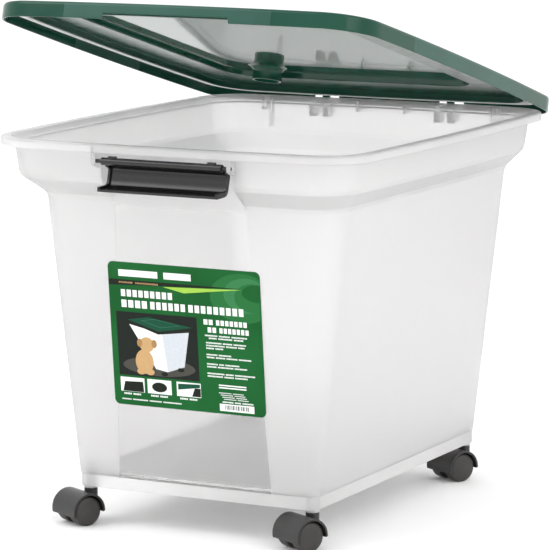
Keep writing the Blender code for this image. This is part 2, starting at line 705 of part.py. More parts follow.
def add_wheel(form, side):
    """A wheel with a rounded tread, a shallow domed face and a blind bore on its inner side."""
    bore = AXLE_RADIUS + FIT_GAP
    inner, outer = WHEEL_INNER, WHEEL_OUTER
    profile = [
        (bore, outer - 4 * MM),
        (bore, inner),
        (WHEEL_RADIUS - 1.5 * MM, inner),
        (WHEEL_RADIUS, inner + 1.5 * MM),
        (WHEEL_RADIUS, outer - 4.5 * MM),
        (WHEEL_RADIUS - 0.7 * MM, outer - 2.6 * MM),
        (WHEEL_RADIUS - 4 * MM, outer - 1 * MM),
        (WHEEL_RADIUS - 10 * MM, outer),
    ]
    add_turned(form, [(radius, side * distance) for radius, distance in profile], "X", 28)


def build_caster(name, x, y, materials):
    """A stem and grip ring fixed in the tub's socket, and the swivelling body with its axle and wheels."""
    swivel_place = (x, y + RIM_CENTRE_Y, 0)
    swivel = make_empty(f"{name}_swivel", swivel_place, (0, 0, CASTER_HEADING))
    groove_low, groove_high = STEM_GROOVE
    groove_radius = STEM_RADIUS - 1 * MM

    def stem(form):
        profile = [
            (STEM_RADIUS - 0.8 * MM, STEM_FOOT),
            (STEM_RADIUS, STEM_FOOT + 1 * MM),
            (STEM_RADIUS, groove_low),
            (groove_radius, groove_low),
            (groove_radius, groove_high),
            (STEM_RADIUS, groove_high),
            (STEM_RADIUS - 1.2 * MM, groove_high + 3 * MM),
        ]
        add_turned(form, profile, "Z", 20)

    def grip_ring(form):
        inner, outer = groove_radius + FIT_GAP, SOCKET_BORE - FIT_GAP
        low, high = groove_low + FIT_GAP, groove_high - FIT_GAP
        profile = [(inner, low), (outer, low + 1 * MM), (outer, high), (inner, high)]
        add_turned(form, profile, "Z", 20, looped=True)

    def axle(form):
        half_length = WHEEL_OUTER - 4.6 * MM
        add_rod(form, (-half_length, 0, 0), 2 * half_length, AXLE_RADIUS, "X", PIN_SEGMENTS)

    make_object(f"caster_stem_{name}", stem, materials["steel"], location=swivel_place)
    make_object(f"grip_ring_{name}", grip_ring, materials["ring"], location=swivel_place)
    build_hood(name, swivel, materials["hood"])
    wheel_centre = (0, -CASTER_TRAIL, WHEEL_RADIUS)
    make_object(f"caster_axle_{name}", axle, materials["steel"], swivel, wheel_centre)
    for hand, side in (("left", -1), ("right", 1)):
        wheel = partial(add_wheel, side=side)
        make_object(f"wheel_{name}_{hand}", wheel, materials["wheel"], swivel, wheel_centre)


def main():
    clear_scene()
    tub_place = Vector((0, RIM_CENTRE_Y, TUB_LIFT))
    root = make_empty("tub_frame", tub_place)
    build_tub(root)
    build_label(root)
    hinge = make_empty("lid_hinge_axis", tub_place + HINGE_AXIS, (-LID_ANGLE, 0, 0))
    build_lid(hinge)
    build_gasket(hinge)
    build_latch(root)
    materials = {
        "steel": make_material("stem_steel", STEEL, metallic=1.0),
        "ring": make_material("grip_ring_steel", STEEL, metallic=1.0),
        "hood": make_material("hood_plastic", PLASTICS["grey"]),
        "wheel": make_material("wheel_plastic", PLASTICS["grey"]),
    }
    for name, x, y in caster_places():
        build_caster(name, x, y, materials)


main()
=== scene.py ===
"""The looks of the pet food bin: fine shells, the label's print and the materials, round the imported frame.

Metres, +Z up. Tub coordinates run from the rim's centre in X and Y and from the skirt's lower edge in Z.
Lid coordinates are the closed lid's, with heights from its skirt's lower edge.
"""

import json
import math

import bmesh
import bpy
from mathutils import Matrix, Vector


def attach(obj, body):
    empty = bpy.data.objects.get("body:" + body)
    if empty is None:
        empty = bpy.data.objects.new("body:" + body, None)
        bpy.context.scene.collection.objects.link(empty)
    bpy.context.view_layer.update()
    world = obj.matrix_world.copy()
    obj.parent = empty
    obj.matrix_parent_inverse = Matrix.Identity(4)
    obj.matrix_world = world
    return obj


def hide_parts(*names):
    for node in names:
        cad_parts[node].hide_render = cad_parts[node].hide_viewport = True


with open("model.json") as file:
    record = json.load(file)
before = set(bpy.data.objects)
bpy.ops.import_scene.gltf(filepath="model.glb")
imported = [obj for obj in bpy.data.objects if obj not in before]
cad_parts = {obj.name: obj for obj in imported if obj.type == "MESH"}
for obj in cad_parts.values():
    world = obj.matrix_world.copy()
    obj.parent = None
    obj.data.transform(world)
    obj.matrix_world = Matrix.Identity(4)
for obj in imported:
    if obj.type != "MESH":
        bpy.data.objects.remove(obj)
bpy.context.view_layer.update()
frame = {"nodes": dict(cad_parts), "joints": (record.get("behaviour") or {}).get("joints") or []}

MM = 0.001
JOINTS = {joint["name"]: joint for joint in frame["joints"]}

SHARP_ANGLE, SOFT_ANGLE = 35, 50  # degrees: edges sharper than this stay crisp
EDGE_ROUNDING = 0.8 * MM

# Tub
TUB_HEIGHT = 380 * MM
WALL = 2.2 * MM
SKIRT_HALF_X, SKIRT_FRONT, SKIRT_BACK = 142.5 * MM, 198 * MM, 214 * MM
SKIRT_RADIUS = 12 * MM
FLOOR_UNDER, FLOOR_THICKNESS = 13 * MM, 2.4 * MM
WALL_FOOT, WALL_HEAD = 15 * MM, 319 * MM
FOOT_HALF_X, FOOT_FRONT, FOOT_BACK = 143.3 * MM, 198.7 * MM, 214.8 * MM
HEAD_HALF_X, HEAD_FRONT, HEAD_BACK, HEAD_RADIUS = 176.6 * MM, 228.6 * MM, 244.7 * MM, 41 * MM
SHOULDER_FOOT, SHOULDER_TOP, SHOULDER_LEAN = 315 * MM, 342 * MM, 0.11
RIM_HALF_X, RIM_HALF_Y, RIM_RADIUS = 220.9 * MM, 273.8 * MM, 57 * MM
RIM_BOW = (5.2 * MM, 4.7 * MM)
RIM_OVERHANG, LIP_HEIGHT, LIP_THICKNESS = 14.5 * MM, 9 * MM, 2 * MM
FLANGE_WIDTH, LEDGE_DROP = 12 * MM, 6.6 * MM
POCKET_HALF_X, POCKET_DRAFT = 77 * MM, 2.4 * MM
LUG_THICKNESS = 3.6 * MM
WINDOW_FOOT, WINDOW_HEAD = 12 * MM, 313 * MM  # the polished panel on the front wall
WINDOW_FOOT_HALF_X, WINDOW_HEAD_HALF_X = 92 * MM, 78 * MM

# Lid
HINGE_AXIS = Vector((0, 276.5 * MM, 372.5 * MM))  # tub coordinates
LID_ANGLE = math.radians(14.46)
LID_HALF_X, LID_FRONT, LID_BACK, LID_RADIUS = 224.5 * MM, 278.4 * MM, 281 * MM, 52 * MM
LID_BOW = (6 * MM, 6 * MM, 4.5 * MM)
LID_SKIRT, LID_BOTTOM, LID_SHEET = 17.2 * MM, 370.5 * MM, 2.2 * MM
NOTCH_HALF_X, NOTCH_DEPTH = 73.8 * MM, 5.8 * MM
# The plug ring is the shallow ring beside the gasket.
PLUG_HALF_X, PLUG_FRONT, PLUG_BACK, PLUG_RADIUS = 203.6 * MM, 255 * MM, 251 * MM, 40 * MM
PLUG_BOW = (5.2 * MM, 4.7 * MM, 4.7 * MM)
PLUG_DEPTH, PLUG_WIDTH = 7 * MM, 2.8 * MM
PANEL_HALF_X, PANEL_FRONT, PANEL_BACK, PANEL_RADIUS = 153 * MM, 206 * MM, 181 * MM, 30 * MM
BAND_UNDER = LID_SKIRT - LID_SHEET
PANEL_UNDER = BAND_UNDER + 7.6 * MM
CUP_CENTRE, CUP_RADIUS, CUP_WALL = (-98 * MM, 155 * MM), 17 * MM, 2.4 * MM
CUP_FOOT, CUP_FLARE = 7 * MM, 8 * MM
KNUCKLE_INNER, KNUCKLE_OUTER = 67.5 * MM, 92.5 * MM
KNUCKLE_WEB = (75.6 * MM, 84 * MM)
HINGE_PIN_RADIUS = 2.2 * MM
GASKET_HALF_X, GASKET_FRONT, GASKET_BACK, GASKET_RADIUS = 220.4 * MM, 274.9 * MM, 273.4 * MM, 53 * MM
GASKET_BOW = (5.4 * MM, 5 * MM, 4.6 * MM)

# Latch
LATCH_AXIS = Vector((0, -266 * MM, 362 * MM))  # tub coordinates
LATCH_HALF_X, LATCH_THICKNESS = 70 * MM, 2.6 * MM
LATCH_HUB_RADIUS, LATCH_PIN_RADIUS, LATCH_TAB_X = 4 * MM, 2 * MM, 58 * MM
LATCH_CURVE = [  # centre line of the hanging latch in mm, as (outwards from the hub, up from the hub)
    (0, 0),
    (-7, -2.5),
    (-13, -5.5),
    (-15.8, -9.5),
    (-14, -17.5),
    (-11.5, -25),
    (-7.5, -28.3),
    (2, -29),
    (11, -29.2),
]
RUNNING_GAP, FIT_GAP = 0.4 * MM, 0.3 * MM

# Label
LABEL_HALF_X, LABEL_LOW, LABEL_HIGH = 90 * MM, 96 * MM, 251 * MM
LABEL_THICKNESS, LABEL_RADIUS = 0.4 * MM, 6 * MM
INK_THICKNESS = 0.05 * MM
FILM_GREEN = (0.007, 0.1, 0.021)

# Casters
CASTER_X, CASTER_FRONT, CASTER_BACK = 133.3 * MM, -186 * MM, 202 * MM
WHEEL_RADIUS, WHEEL_INNER, WHEEL_OUTER = 16 * MM, 4.4 * MM, 21.6 * MM
CASTER_TRAIL = 16 * MM
HOOD_RADIUS, HOOD_INNER, HOOD_HALF_WIDTH = 19.8 * MM, 17.6 * MM, 22 * MM
HOOD_ARC = (-2, 194)
HOOD_WEB = 3.7 * MM
NECK_RADIUS, NECK_FOOT, NECK_TOP = 7.2 * MM, 21.5 * MM, 37.6 * MM
SOCKET_RADIUS, SOCKET_BORE, SOCKET_BOTTOM = 7.6 * MM, 5 * MM, 38 * MM
BOSS_RADIUS, BOSS_HEIGHT = 9.8 * MM, 14 * MM
STEM_RADIUS, STEM_FOOT, AXLE_RADIUS = 4 * MM, 27 * MM, 2 * MM
CASTERS = ("front_left", "front_right", "back_left", "back_right")

# Room and camera
SKY_STRENGTH, FLOOR_SIZE, FLOOR_TONE = 1.17, 60.0, (0.965, 0.965, 0.965)
LAMPS = (  # name, place, side and power
    ("key", (-2.6, -2.4, 3.2), 2.6, 60),
    ("fill", (3.2, -1.2, 2.4), 2.4, 34),
)
LAMP_TARGET = Vector((0, 0, 0.3))
CAMERA_PLACE = (1.6634, -3.2728, 0.7763)  # the height is from the skirt's lower edge
CAMERA_DIP, CAMERA_TURN = math.radians(8.757), math.radians(27.07)
CAMERA_LENS, CAMERA_SENSOR, CAMERA_SHIFT = 221, 36, (0.0027, 0.0005)

# Fineness of the meshes
CORNER_STEPS, SIDE_STEPS, STATION_STEPS = 14, 12, 4
ROUND_STEPS, PIN_STEPS, WHEEL_STEPS, OVAL_STEPS = 48, 24, 96, 40

TUB_PLACE = Vector(JOINTS["lid_hinge"]["pos_m"]) - HINGE_AXIS
TUB_LIFT = TUB_PLACE.z
TUB_MATRIX = Matrix.Translation(TUB_PLACE)
LID_MATRIX = Matrix.Translation(TUB_PLACE + HINGE_AXIS) @ Matrix.Rotation(-LID_ANGLE, 4, "X")
LATCH_MATRIX = Matrix.Translation(TUB_PLACE + LATCH_AXIS)


# Mesh helpers


def make_mesh(name, builder, matrix):
    """A linked object at the origin, with the builder's mesh moved to its place."""
    form = bmesh.new()
    builder(form)
    bmesh.ops.recalc_face_normals(form, faces=form.faces)
    form.transform(matrix)
    mesh = bpy.data.meshes.new(name)
    form.to_mesh(mesh)
    form.free()
    obj = bpy.data.objects.new(name, mesh)
    bpy.context.scene.collection.objects.link(obj)
    return obj


def carve(obj, builder, operation, matrix):
    """Joins or cuts a helper shape, and applies the result to the object's mesh."""
    helper = make_mesh("helper", builder, matrix)
    modifier = obj.modifiers.new("carve", "BOOLEAN")
    modifier.operation = operation
    modifier.object = helper
    modifier.solver = "EXACT"
    bpy.context.view_layer.update()
    graph = bpy.context.evaluated_depsgraph_get()
    result = bpy.data.meshes.new_from_object(obj.evaluated_get(graph), depsgraph=graph)
    obj.modifiers.clear()
    obj.data = result
    bpy.data.objects.remove(helper)


def smooth(obj, angle=SHARP_ANGLE):
    obj.data.shade_smooth()
    obj.data.set_sharp_from_angle(angle=math.radians(angle))
    weighted = obj.modifiers.new("weighted_normals", "WEIGHTED_NORMAL")
    weighted.keep_sharp = True


def bevel(obj, width):
    modifier = obj.modifiers.new("edges", "BEVEL")
    modifier.width = width
    modifier.segments = 2
    modifier.limit_method = "ANGLE"
    modifier.angle_limit = math.radians(40)
    modifier.harden_normals = False


def finish_piece(obj, body, materials, nodes=()):
    """Gives a piece its materials, its body and the CAD nodes that it stands for."""
    for material in materials:
        obj.data.materials.append(material)
    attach(obj, body)
    if nodes:
        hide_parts(*nodes)


def add_loft(form, rings, looped=False):
    loops = [[form.verts.new(point) for point in ring] for ring in rings]
    count = len(loops[0])
    pairs = list(zip(loops, loops[1:]))
    if looped:
        pairs.append((loops[-1], loops[0]))
    for lower, upper in pairs:
        for i in range(count):
            j = (i + 1) % count
            form.faces.new((lower[i], lower[j], upper[j], upper[i]))
    if not looped:
        form.faces.new(loops[0])
        form.faces.new(loops[-1])


def add_prism(form, face, travel):
    travel = Vector(travel)
    start = [Vector(point) for point in face]
    add_loft(form, [start, [point + travel for point in start]])


def circle(centre, radius, axis, segments):
    points = []
    for i in range(segments):
        turn = math.tau * i / segments
        across, up = radius * math.cos(turn), radius * math.sin(turn)
        offset = (0, across, up) if axis == "X" else (across, up, 0)
        points.append(Vector(centre) + Vector(offset))
    return points


def add_rod(form, start, length, radius, axis, segments=ROUND_STEPS):
    travel = (length, 0, 0) if axis == "X" else (0, 0, length)
    add_prism(form, circle(start, radius, axis, segments), travel)


def add_turned(form, profile, axis, segments, looped=False):
    along = Vector((1, 0, 0)) if axis == "X" else Vector((0, 0, 1))
    rings = [circle(along * distance, radius, axis, segments) for radius, distance in profile]
    add_loft(form, rings, looped)


def add_box(form, low, high):
    corners = [(low[0], low[1]), (high[0], low[1]), (high[0], high[1]), (low[0], high[1])]
    add_prism(form, [(x, y, low[2]) for x, y in corners], (0, 0, high[2] - low[2]))


def soften(rings, reach, steps=3, looped=False):
    """Rounds the bend at each ring of a loft, by at most reach to either side of it."""
    rings = [[Vector(point) for point in ring] for ring in rings]
    last = len(rings) - 1
    rounded = []
    for index, ring in enumerate(rings):
        if index in (0, last) and not looped:
            rounded.append(ring)
            continue
        before, after = rings[index - 1], rings[(index + 1) % len(rings)]
        shares = []
        for other in (before, after):
            gap = sum((a - b).length for a, b in zip(ring, other)) / len(ring)
            shares.append(min(reach / gap, 0.45))
        for step in range(steps + 1):
            t = step / steps
            weights = (shares[0] * (1 - t) ** 2, shares[1] * t ** 2)
            rounded.append(
                [p + (b - p) * weights[0] + (a - p) * weights[1] for p, b, a in zip(ring, before, after)]
            )
    return rounded


# Rounded outlines with bowed sides


def stations(end, stops):
    """(position, weight) pairs along a side, through both signs of each (distance, weight) stop."""
    marks = [(0.0, stops[0][1]), *stops, (end, 0.0)]
    positive = []
    for (near, weight), (far, next_weight) in zip(marks, marks[1:]):
        for step in range(STATION_STEPS):
            t = step / STATION_STEPS
            eased = t * t * (3 - 2 * t)
            positive.append((near + (far - near) * t, weight + (next_weight - weight) * eased))
    return [(-distance, weight) for distance, weight in positive[:0:-1]] + positive


def outline(half_x, front, back, radius, bows=(0, 0, 0), front_stops=None, back_stops=None):
    """Counter-clockwise (x, y, front weight, back weight) points. bows: sides, front, back."""
    side_bow, front_bow, back_bow = bows
    edge_x, edge_front, edge_back = half_x - side_bow, front - front_bow, back - back_bow
    end_x = edge_x - radius
    low_y, high_y = radius - edge_front, edge_back - radius
    default_stops = [(end_x / 3, 0.0), (end_x * 2 / 3, 0.0)]
    points = []

    def arc(centre_x, centre_y, first_quarter):
        for step in range(CORNER_STEPS + 1):
            turn = math.radians(90 * (first_quarter + step / CORNER_STEPS))
            x, y = centre_x + radius * math.cos(turn), centre_y + radius * math.sin(turn)
            points.append((x, y, 0.0, 0.0))

    def flank(side):
        for step in range(1, SIDE_STEPS):
            share = step / SIDE_STEPS if side > 0 else 1 - step / SIDE_STEPS
            x = edge_x + side_bow * (1 - (2 * share - 1) ** 2)
            points.append((side * x, low_y + share * (high_y - low_y), 0.0, 0.0))

    for x, weight in stations(end_x, front_stops or default_stops):
        points.append((x, -edge_front - front_bow * (1 - (x / end_x) ** 2), weight, 0.0))
    arc(end_x, low_y, 3)
    flank(1)
    arc(end_x, high_y, 0)
    for x, weight in reversed(stations(end_x, back_stops or default_stops)):
        points.append((x, edge_back + back_bow * (1 - (x / end_x) ** 2), 0.0, weight))
    arc(-end_x, high_y, 1)
    flank(-1)
    arc(-end_x, low_y, 2)
    return points


# Node helpers


def new_material(name, colour, roughness, **values):
    """A Principled material; values are socket names with underscores for spaces."""
    material = bpy.data.materials.new(name)
    material.use_nodes = True
    shader = material.node_tree.nodes["Principled BSDF"]
    shader.inputs["Base Color"].default_value = (*colour, 1)
    shader.inputs["Roughness"].default_value = roughness
    for key, value in values.items():
        shader.inputs[key.replace("_", " ")].default_value = value
    return material, material.node_tree, shader


def feed(tree, socket, value):
    if isinstance(value, bpy.types.NodeSocket):
        tree.links.new(value, socket)
    else:
        socket.default_value = value


def calculate(tree, operation, first, second=0.0):
    node = tree.nodes.new("ShaderNodeMath")
    node.operation = operation
    feed(tree, node.inputs[0], first)
    feed(tree, node.inputs[1], second)
    return node.outputs[0]


def place(tree, stretch=(1, 1, 1)):
    """The object's own coordinates, in metres at rest."""
    coordinates = tree.nodes.new("ShaderNodeTexCoord")
    mapping = tree.nodes.new("ShaderNodeMapping")
    mapping.inputs["Scale"].default_value = stretch
    tree.links.new(coordinates.outputs["Object"], mapping.inputs["Vector"])
    return mapping.outputs["Vector"]


def noise(tree, scale, detail=3, stretch=(1, 1, 1)):
    node = tree.nodes.new("ShaderNodeTexNoise")
    node.inputs["Scale"].default_value = scale
    node.inputs["Detail"].default_value = detail
    tree.links.new(place(tree, stretch), node.inputs["Vector"])
    return node.outputs["Fac"]


def remap(tree, source, low, high, from_low=0.3, from_high=0.7):
    node = tree.nodes.new("ShaderNodeMapRange")
    feed(tree, node.inputs["Value"], source)
    node.inputs["From Min"].default_value = from_low
    node.inputs["From Max"].default_value = from_high
    feed(tree, node.inputs["To Min"], low)
    feed(tree, node.inputs["To Max"], high)
    return node.outputs["Result"]


def blend_colours(tree, share, first, second):
    node = tree.nodes.new("ShaderNodeMix")
    node.data_type = "RGBA"
    feed(tree, node.inputs["Factor"], share)
    for key, colour in (("A", first), ("B", second)):
        socket = [s for s in node.inputs if s.name == key and s.type == "RGBA"][0]
        feed(tree, socket, (*colour, 1) if isinstance(colour, tuple) else colour)
    return [s for s in node.outputs if s.type == "RGBA"][0]


def add_bump(tree, shader, height, distance, strength=1.0):
    node = tree.nodes.new("ShaderNodeBump")
    node.inputs["Strength"].default_value = strength
    node.inputs["Distance"].default_value = distance
    tree.links.new(height, node.inputs["Height"])
    tree.links.new(node.outputs["Normal"], shader.inputs["Normal"])


# Materials


def window_mask(tree):
    """1 on the tub's polished front panel, 0 elsewhere."""
    split = tree.nodes.new("ShaderNodeSeparateXYZ")
    tree.links.new(place(tree), split.inputs[0])
    x, y, z = split.outputs
    edge = remap(
        tree, z, WINDOW_FOOT_HALF_X, WINDOW_HEAD_HALF_X, TUB_LIFT + WINDOW_FOOT, TUB_LIFT + WINDOW_HEAD
    )
    from_edge = calculate(tree, "SUBTRACT", edge, calculate(tree, "ABSOLUTE", x))
    sides = remap(tree, from_edge, 0.0, 1.0, 0.0, 1 * MM)
    top = remap(tree, z, 1.0, 0.0, TUB_LIFT + WINDOW_HEAD - 2 * MM, TUB_LIFT + WINDOW_HEAD)
    foot = remap(tree, z, 0.0, 1.0, TUB_LIFT + WINDOW_FOOT, TUB_LIFT + WINDOW_FOOT + 2 * MM)
    front = remap(tree, y, 1.0, 0.0, -190 * MM, -180 * MM)
    return calculate(
        tree, "MULTIPLY", calculate(tree, "MULTIPLY", sides, top), calculate(tree, "MULTIPLY", foot, front)
    )


def tub_material():
    """Natural polypropylene: milky and satin, with a clear polished panel at the front."""
    material, tree, shader = new_material("tub_polypropylene", (0.97, 0.965, 0.965), 0.35, IOR=1.38)
    window = window_mask(tree)
    flow = noise(tree, 9, 4, (1, 1, 0.35))
    milky = blend_colours(tree, remap(tree, flow, 0.0, 1.0), (0.955, 0.945, 0.948), (0.985, 0.98, 0.98))
    colour = blend_colours(tree, window, milky, (0.985, 0.98, 0.98))
    tree.links.new(colour, shader.inputs["Base Color"])
    grain = noise(tree, 700, 2)
    frosted = remap(tree, grain, 0.42, 0.5)
    tree.links.new(remap(tree, window, frosted, 0.12, 0.0, 1.0), shader.inputs["Roughness"])
    tree.links.new(remap(tree, window, 0.78, 0.93, 0.0, 1.0), shader.inputs["Transmission Weight"])
    height = calculate(tree, "MULTIPLY", grain, calculate(tree, "SUBTRACT", 1.0, window))
    add_bump(tree, shader, height, 0.05 * MM, 0.5)
    return material


def lid_materials():
    """Dark green polypropylene: satin outside, polished under the central panel, glossy inside round it,
    where a darker green is painted shade.
    """
    satin, tree, shader = new_material("lid_satin", (0.011, 0.07, 0.048), 0.34, IOR=1.42)
    shade = remap(tree, noise(tree, 14, 4), 0.0, 1.0)
    tree.links.new(
        blend_colours(tree, shade, (0.009, 0.06, 0.041), (0.014, 0.08, 0.056)), shader.inputs["Base Color"]
    )
    grain = noise(tree, 900, 2)
    tree.links.new(remap(tree, grain, 0.28, 0.42), shader.inputs["Roughness"])
    add_bump(tree, shader, grain, 0.04 * MM, 0.6)

    polished, tree, shader = new_material(
        "lid_polished", (0.008, 0.07, 0.042), 0.05, IOR=1.45, Coat_Weight=0.15, Coat_Roughness=0.03
    )
    shade = remap(tree, noise(tree, 10, 3), 0.0, 1.0)
    tree.links.new(
        blend_colours(tree, shade, (0.007, 0.062, 0.037), (0.010, 0.08, 0.05)), shader.inputs["Base Color"]
    )
    tree.links.new(remap(tree, noise(tree, 60, 3), 0.03, 0.08), shader.inputs["Roughness"])
    add_bump(tree, shader, noise(tree, 18, 2), 0.12 * MM, 0.25)

    # The inside strip's darker green is painted shade on the same lid plastic, not a different colour of
    # plastic.
    glossy, tree, shader = new_material("lid_inner_shaded", (0.006, 0.055, 0.034), 0.16, IOR=1.33)
    shade = remap(tree, noise(tree, 12, 3), 0.0, 1.0)
    tree.links.new(
        blend_colours(tree, shade, (0.005, 0.048, 0.03), (0.008, 0.064, 0.04)), shader.inputs["Base Color"]
    )
    tree.links.new(remap(tree, noise(tree, 80, 3), 0.12, 0.2), shader.inputs["Roughness"])
    add_bump(tree, shader, noise(tree, 20, 2), 0.12 * MM, 0.25)
    return satin, polished, glossy


def gasket_material():
    material, tree, shader = new_material("gasket_foam", (0.85, 0.87, 0.85), 0.6)
    pores = noise(tree, 1400, 3)
    tree.links.new(
        blend_colours(tree, remap(tree, pores, 0.0, 1.0), (0.86, 0.88, 0.87), (0.96, 0.97, 0.96)),
        shader.inputs["Base Color"],
    )
    add_bump(tree, shader, pores, 0.08 * MM, 0.7)
    return material


def moulded_material(name, dark, light, roughness):
    """A moulded plastic with slight flow marks and a fine spark-eroded grain."""
    material, tree, shader = new_material(name, dark, roughness)
    flow = remap(tree, noise(tree, 45, 4), 0.0, 1.0)
    tree.links.new(blend_colours(tree, flow, dark, light), shader.inputs["Base Color"])
    grain = noise(tree, 1100, 2)
    tree.links.new(remap(tree, grain, roughness - 0.07, roughness + 0.08), shader.inputs["Roughness"])
    add_bump(tree, shader, grain, 0.04 * MM, 0.6)
    return material


def steel_material():
    """Zinc-plated steel with faint turning marks."""
    material, tree, shader = new_material("plated_steel", (0.6, 0.6, 0.62), 0.3, Metallic=1.0)
    marks = noise(tree, 300, 3, (1, 1, 8))
    tree.links.new(
        blend_colours(tree, remap(tree, marks, 0.0, 1.0), (0.5, 0.5, 0.52), (0.68, 0.68, 0.7)),
        shader.inputs["Base Color"],
    )
    tree.links.new(remap(tree, marks, 0.22, 0.4), shader.inputs["Roughness"])
    return material


def label_materials():
    """The label's green film, and its inks, whose colours are stored on the print's faces."""
    film, tree, shader = new_material("label_film", FILM_GREEN, 0.4, IOR=1.22)
    shade = remap(tree, noise(tree, 16, 2), 0.0, 1.0)
    tree.links.new(
        blend_colours(tree, shade, (0.005, 0.09, 0.018), (0.009, 0.115, 0.026)), shader.inputs["Base Color"]
    )
    add_bump(tree, shader, noise(tree, 500, 2), 0.02 * MM, 0.4)

    ink, tree, shader = new_material("label_ink", (1, 1, 1), 0.4, IOR=1.22)
    stored = tree.nodes.new("ShaderNodeVertexColor")
    stored.layer_name = "ink"
    wear = remap(tree, noise(tree, 600, 3), 0.0, 0.12)
    tree.links.new(
        blend_colours(tree, wear, stored.outputs["Color"], FILM_GREEN), shader.inputs["Base Color"]
    )
    add_bump(tree, shader, noise(tree, 500, 2), 0.02 * MM, 0.4)
    return film, ink


# Tub


def mixed(first, second, share):
    return tuple(a + (b - a) * share for a, b in zip(first, second))


def wall_section(height):
    """Half width, front, back, corner radius and bow of the plain wall's outer face at a height."""
    share = (height - WALL_FOOT) / (WALL_HEAD - WALL_FOOT)
    foot = (FOOT_HALF_X, FOOT_FRONT, FOOT_BACK, SKIRT_RADIUS, 0.0)
    head = (HEAD_HALF_X, HEAD_FRONT, HEAD_BACK, HEAD_RADIUS, 0.0)
    return mixed(foot, head, share)


def shoulder_section(height):
    lean = SHOULDER_LEAN * (TUB_HEIGHT - LIP_HEIGHT - height)
    half_x, half_y = RIM_HALF_X - RIM_OVERHANG - lean, RIM_HALF_Y - RIM_OVERHANG - lean
    return half_x, half_y, half_y, RIM_RADIUS - RIM_OVERHANG, 1.0


def rim_section(inset):
    return RIM_HALF_X - inset, RIM_HALF_Y - inset, RIM_HALF_Y - inset, RIM_RADIUS - inset, 1.0


def tub_ring(height, section, inset=0.0, pocketed=False):
    """A ring of the tub; a pocketed one steps back to the plain wall where the latch hangs."""
    half_x, front, back, radius, bow = section
    bows = (RIM_BOW[0] * bow, RIM_BOW[1] * bow, RIM_BOW[1] * bow)
    edge = POCKET_HALF_X + inset
    stops = [(edge - POCKET_DRAFT, 1.0), (edge, 0.0)]
    flat = outline(half_x - inset, front - inset, back - inset, max(radius - inset, 4 * MM), bows, stops)
    pocket_y = inset - wall_section(height)[1]
    depth = 1.0 if pocketed else 0.0
    return [(x, y + (pocket_y - y) * weight * depth, height) for x, y, weight, _ in flat]


def tub_rings():
    """From the floor's underside, up the outside, over the rim and down the inside to the floor."""
    skirt = (SKIRT_HALF_X, SKIRT_FRONT, SKIRT_BACK, SKIRT_RADIUS, 0.0)
    lip_foot, flange_under = TUB_HEIGHT - LIP_HEIGHT, TUB_HEIGHT - 2.4 * MM
    ledge = TUB_HEIGHT - LEDGE_DROP
    slope = [
        (SHOULDER_FOOT, 0.0),
        (SHOULDER_FOOT + 5 * MM, 0.1),
        (SHOULDER_TOP - 5 * MM, 0.92),
        (SHOULDER_TOP, 1.0),
    ]
    bend = [(z, mixed(wall_section(z), shoulder_section(z), share)) for z, share in slope]
    plain = [(z, wall_section(z)) for z in (WALL_FOOT, 100 * MM, 210 * MM)]
    rings = [
        tub_ring(FLOOR_UNDER, skirt, WALL),
        tub_ring(0.0, skirt, WALL),
        tub_ring(0.0, skirt),
        tub_ring(WALL_FOOT - 1 * MM, skirt),
    ]
    rings += [tub_ring(z, section) for z, section in plain]
    rings += [tub_ring(z, section, pocketed=True) for z, section in bend]
    rings += [
        tub_ring(lip_foot - 0.6 * MM, shoulder_section(lip_foot), pocketed=True),
        tub_ring(lip_foot + 0.2 * MM, shoulder_section(lip_foot)),
        tub_ring(lip_foot + 1.4 * MM, rim_section(RIM_OVERHANG - 1.5 * MM)),
        tub_ring(flange_under, rim_section(FLANGE_WIDTH - 1.8 * MM)),
        tub_ring(flange_under, rim_section(LIP_THICKNESS + 0.3 * MM)),
        tub_ring(lip_foot, rim_section(LIP_THICKNESS)),
        tub_ring(lip_foot, rim_section(0.5 * MM)),
        tub_ring(lip_foot + 0.6 * MM, rim_section(0.0)),
        tub_ring(TUB_HEIGHT - 1.2 * MM, rim_section(0.0)),
        tub_ring(TUB_HEIGHT, rim_section(1.2 * MM)),
        tub_ring(TUB_HEIGHT, rim_section(FLANGE_WIDTH - 0.8 * MM)),
        tub_ring(TUB_HEIGHT - 0.9 * MM, rim_section(FLANGE_WIDTH)),
        tub_ring(ledge + 0.5 * MM, rim_section(RIM_OVERHANG + 0.4 * MM)),
        tub_ring(ledge, shoulder_section(ledge), WALL),
        tub_ring(ledge - 0.7 * MM, shoulder_section(lip_foot), WALL, pocketed=True),
    ]
    rings += [tub_ring(z, section, WALL, pocketed=True) for z, section in reversed(bend)]
    rings += [tub_ring(z, section, WALL) for z, section in reversed(plain[1:])]
    floor_top = FLOOR_UNDER + FLOOR_THICKNESS
    rings.append(tub_ring(floor_top + 3 * MM, wall_section(WALL_FOOT), WALL))
    rings.append(tub_ring(floor_top, wall_section(WALL_FOOT), WALL + 2.5 * MM))
    return rings


def add_hinge_ears(form):
    axis_y, axis_z = HINGE_AXIS.y, HINGE_AXIS.z
    profile = [
        (axis_y - 18 * MM, axis_z - 14 * MM),
        (axis_y - 10 * MM, axis_z - 14 * MM),
        (axis_y + 4.3 * MM, axis_z - 4 * MM),
        (axis_y + 4.3 * MM, axis_z + 3 * MM),
        (axis_y + 2.5 * MM, axis_z + 4.5 * MM),
        (axis_y - 18 * MM, axis_z + 4.5 * MM),
    ]
    spans = [
        (KNUCKLE_INNER, KNUCKLE_WEB[0] - RUNNING_GAP),
        (KNUCKLE_WEB[1] + RUNNING_GAP, KNUCKLE_OUTER),
    ]
    for side in (-1, 1):
        for near, far in spans:
            add_prism(form, [(side * near, y, z) for y, z in profile], (side * (far - near), 0, 0))


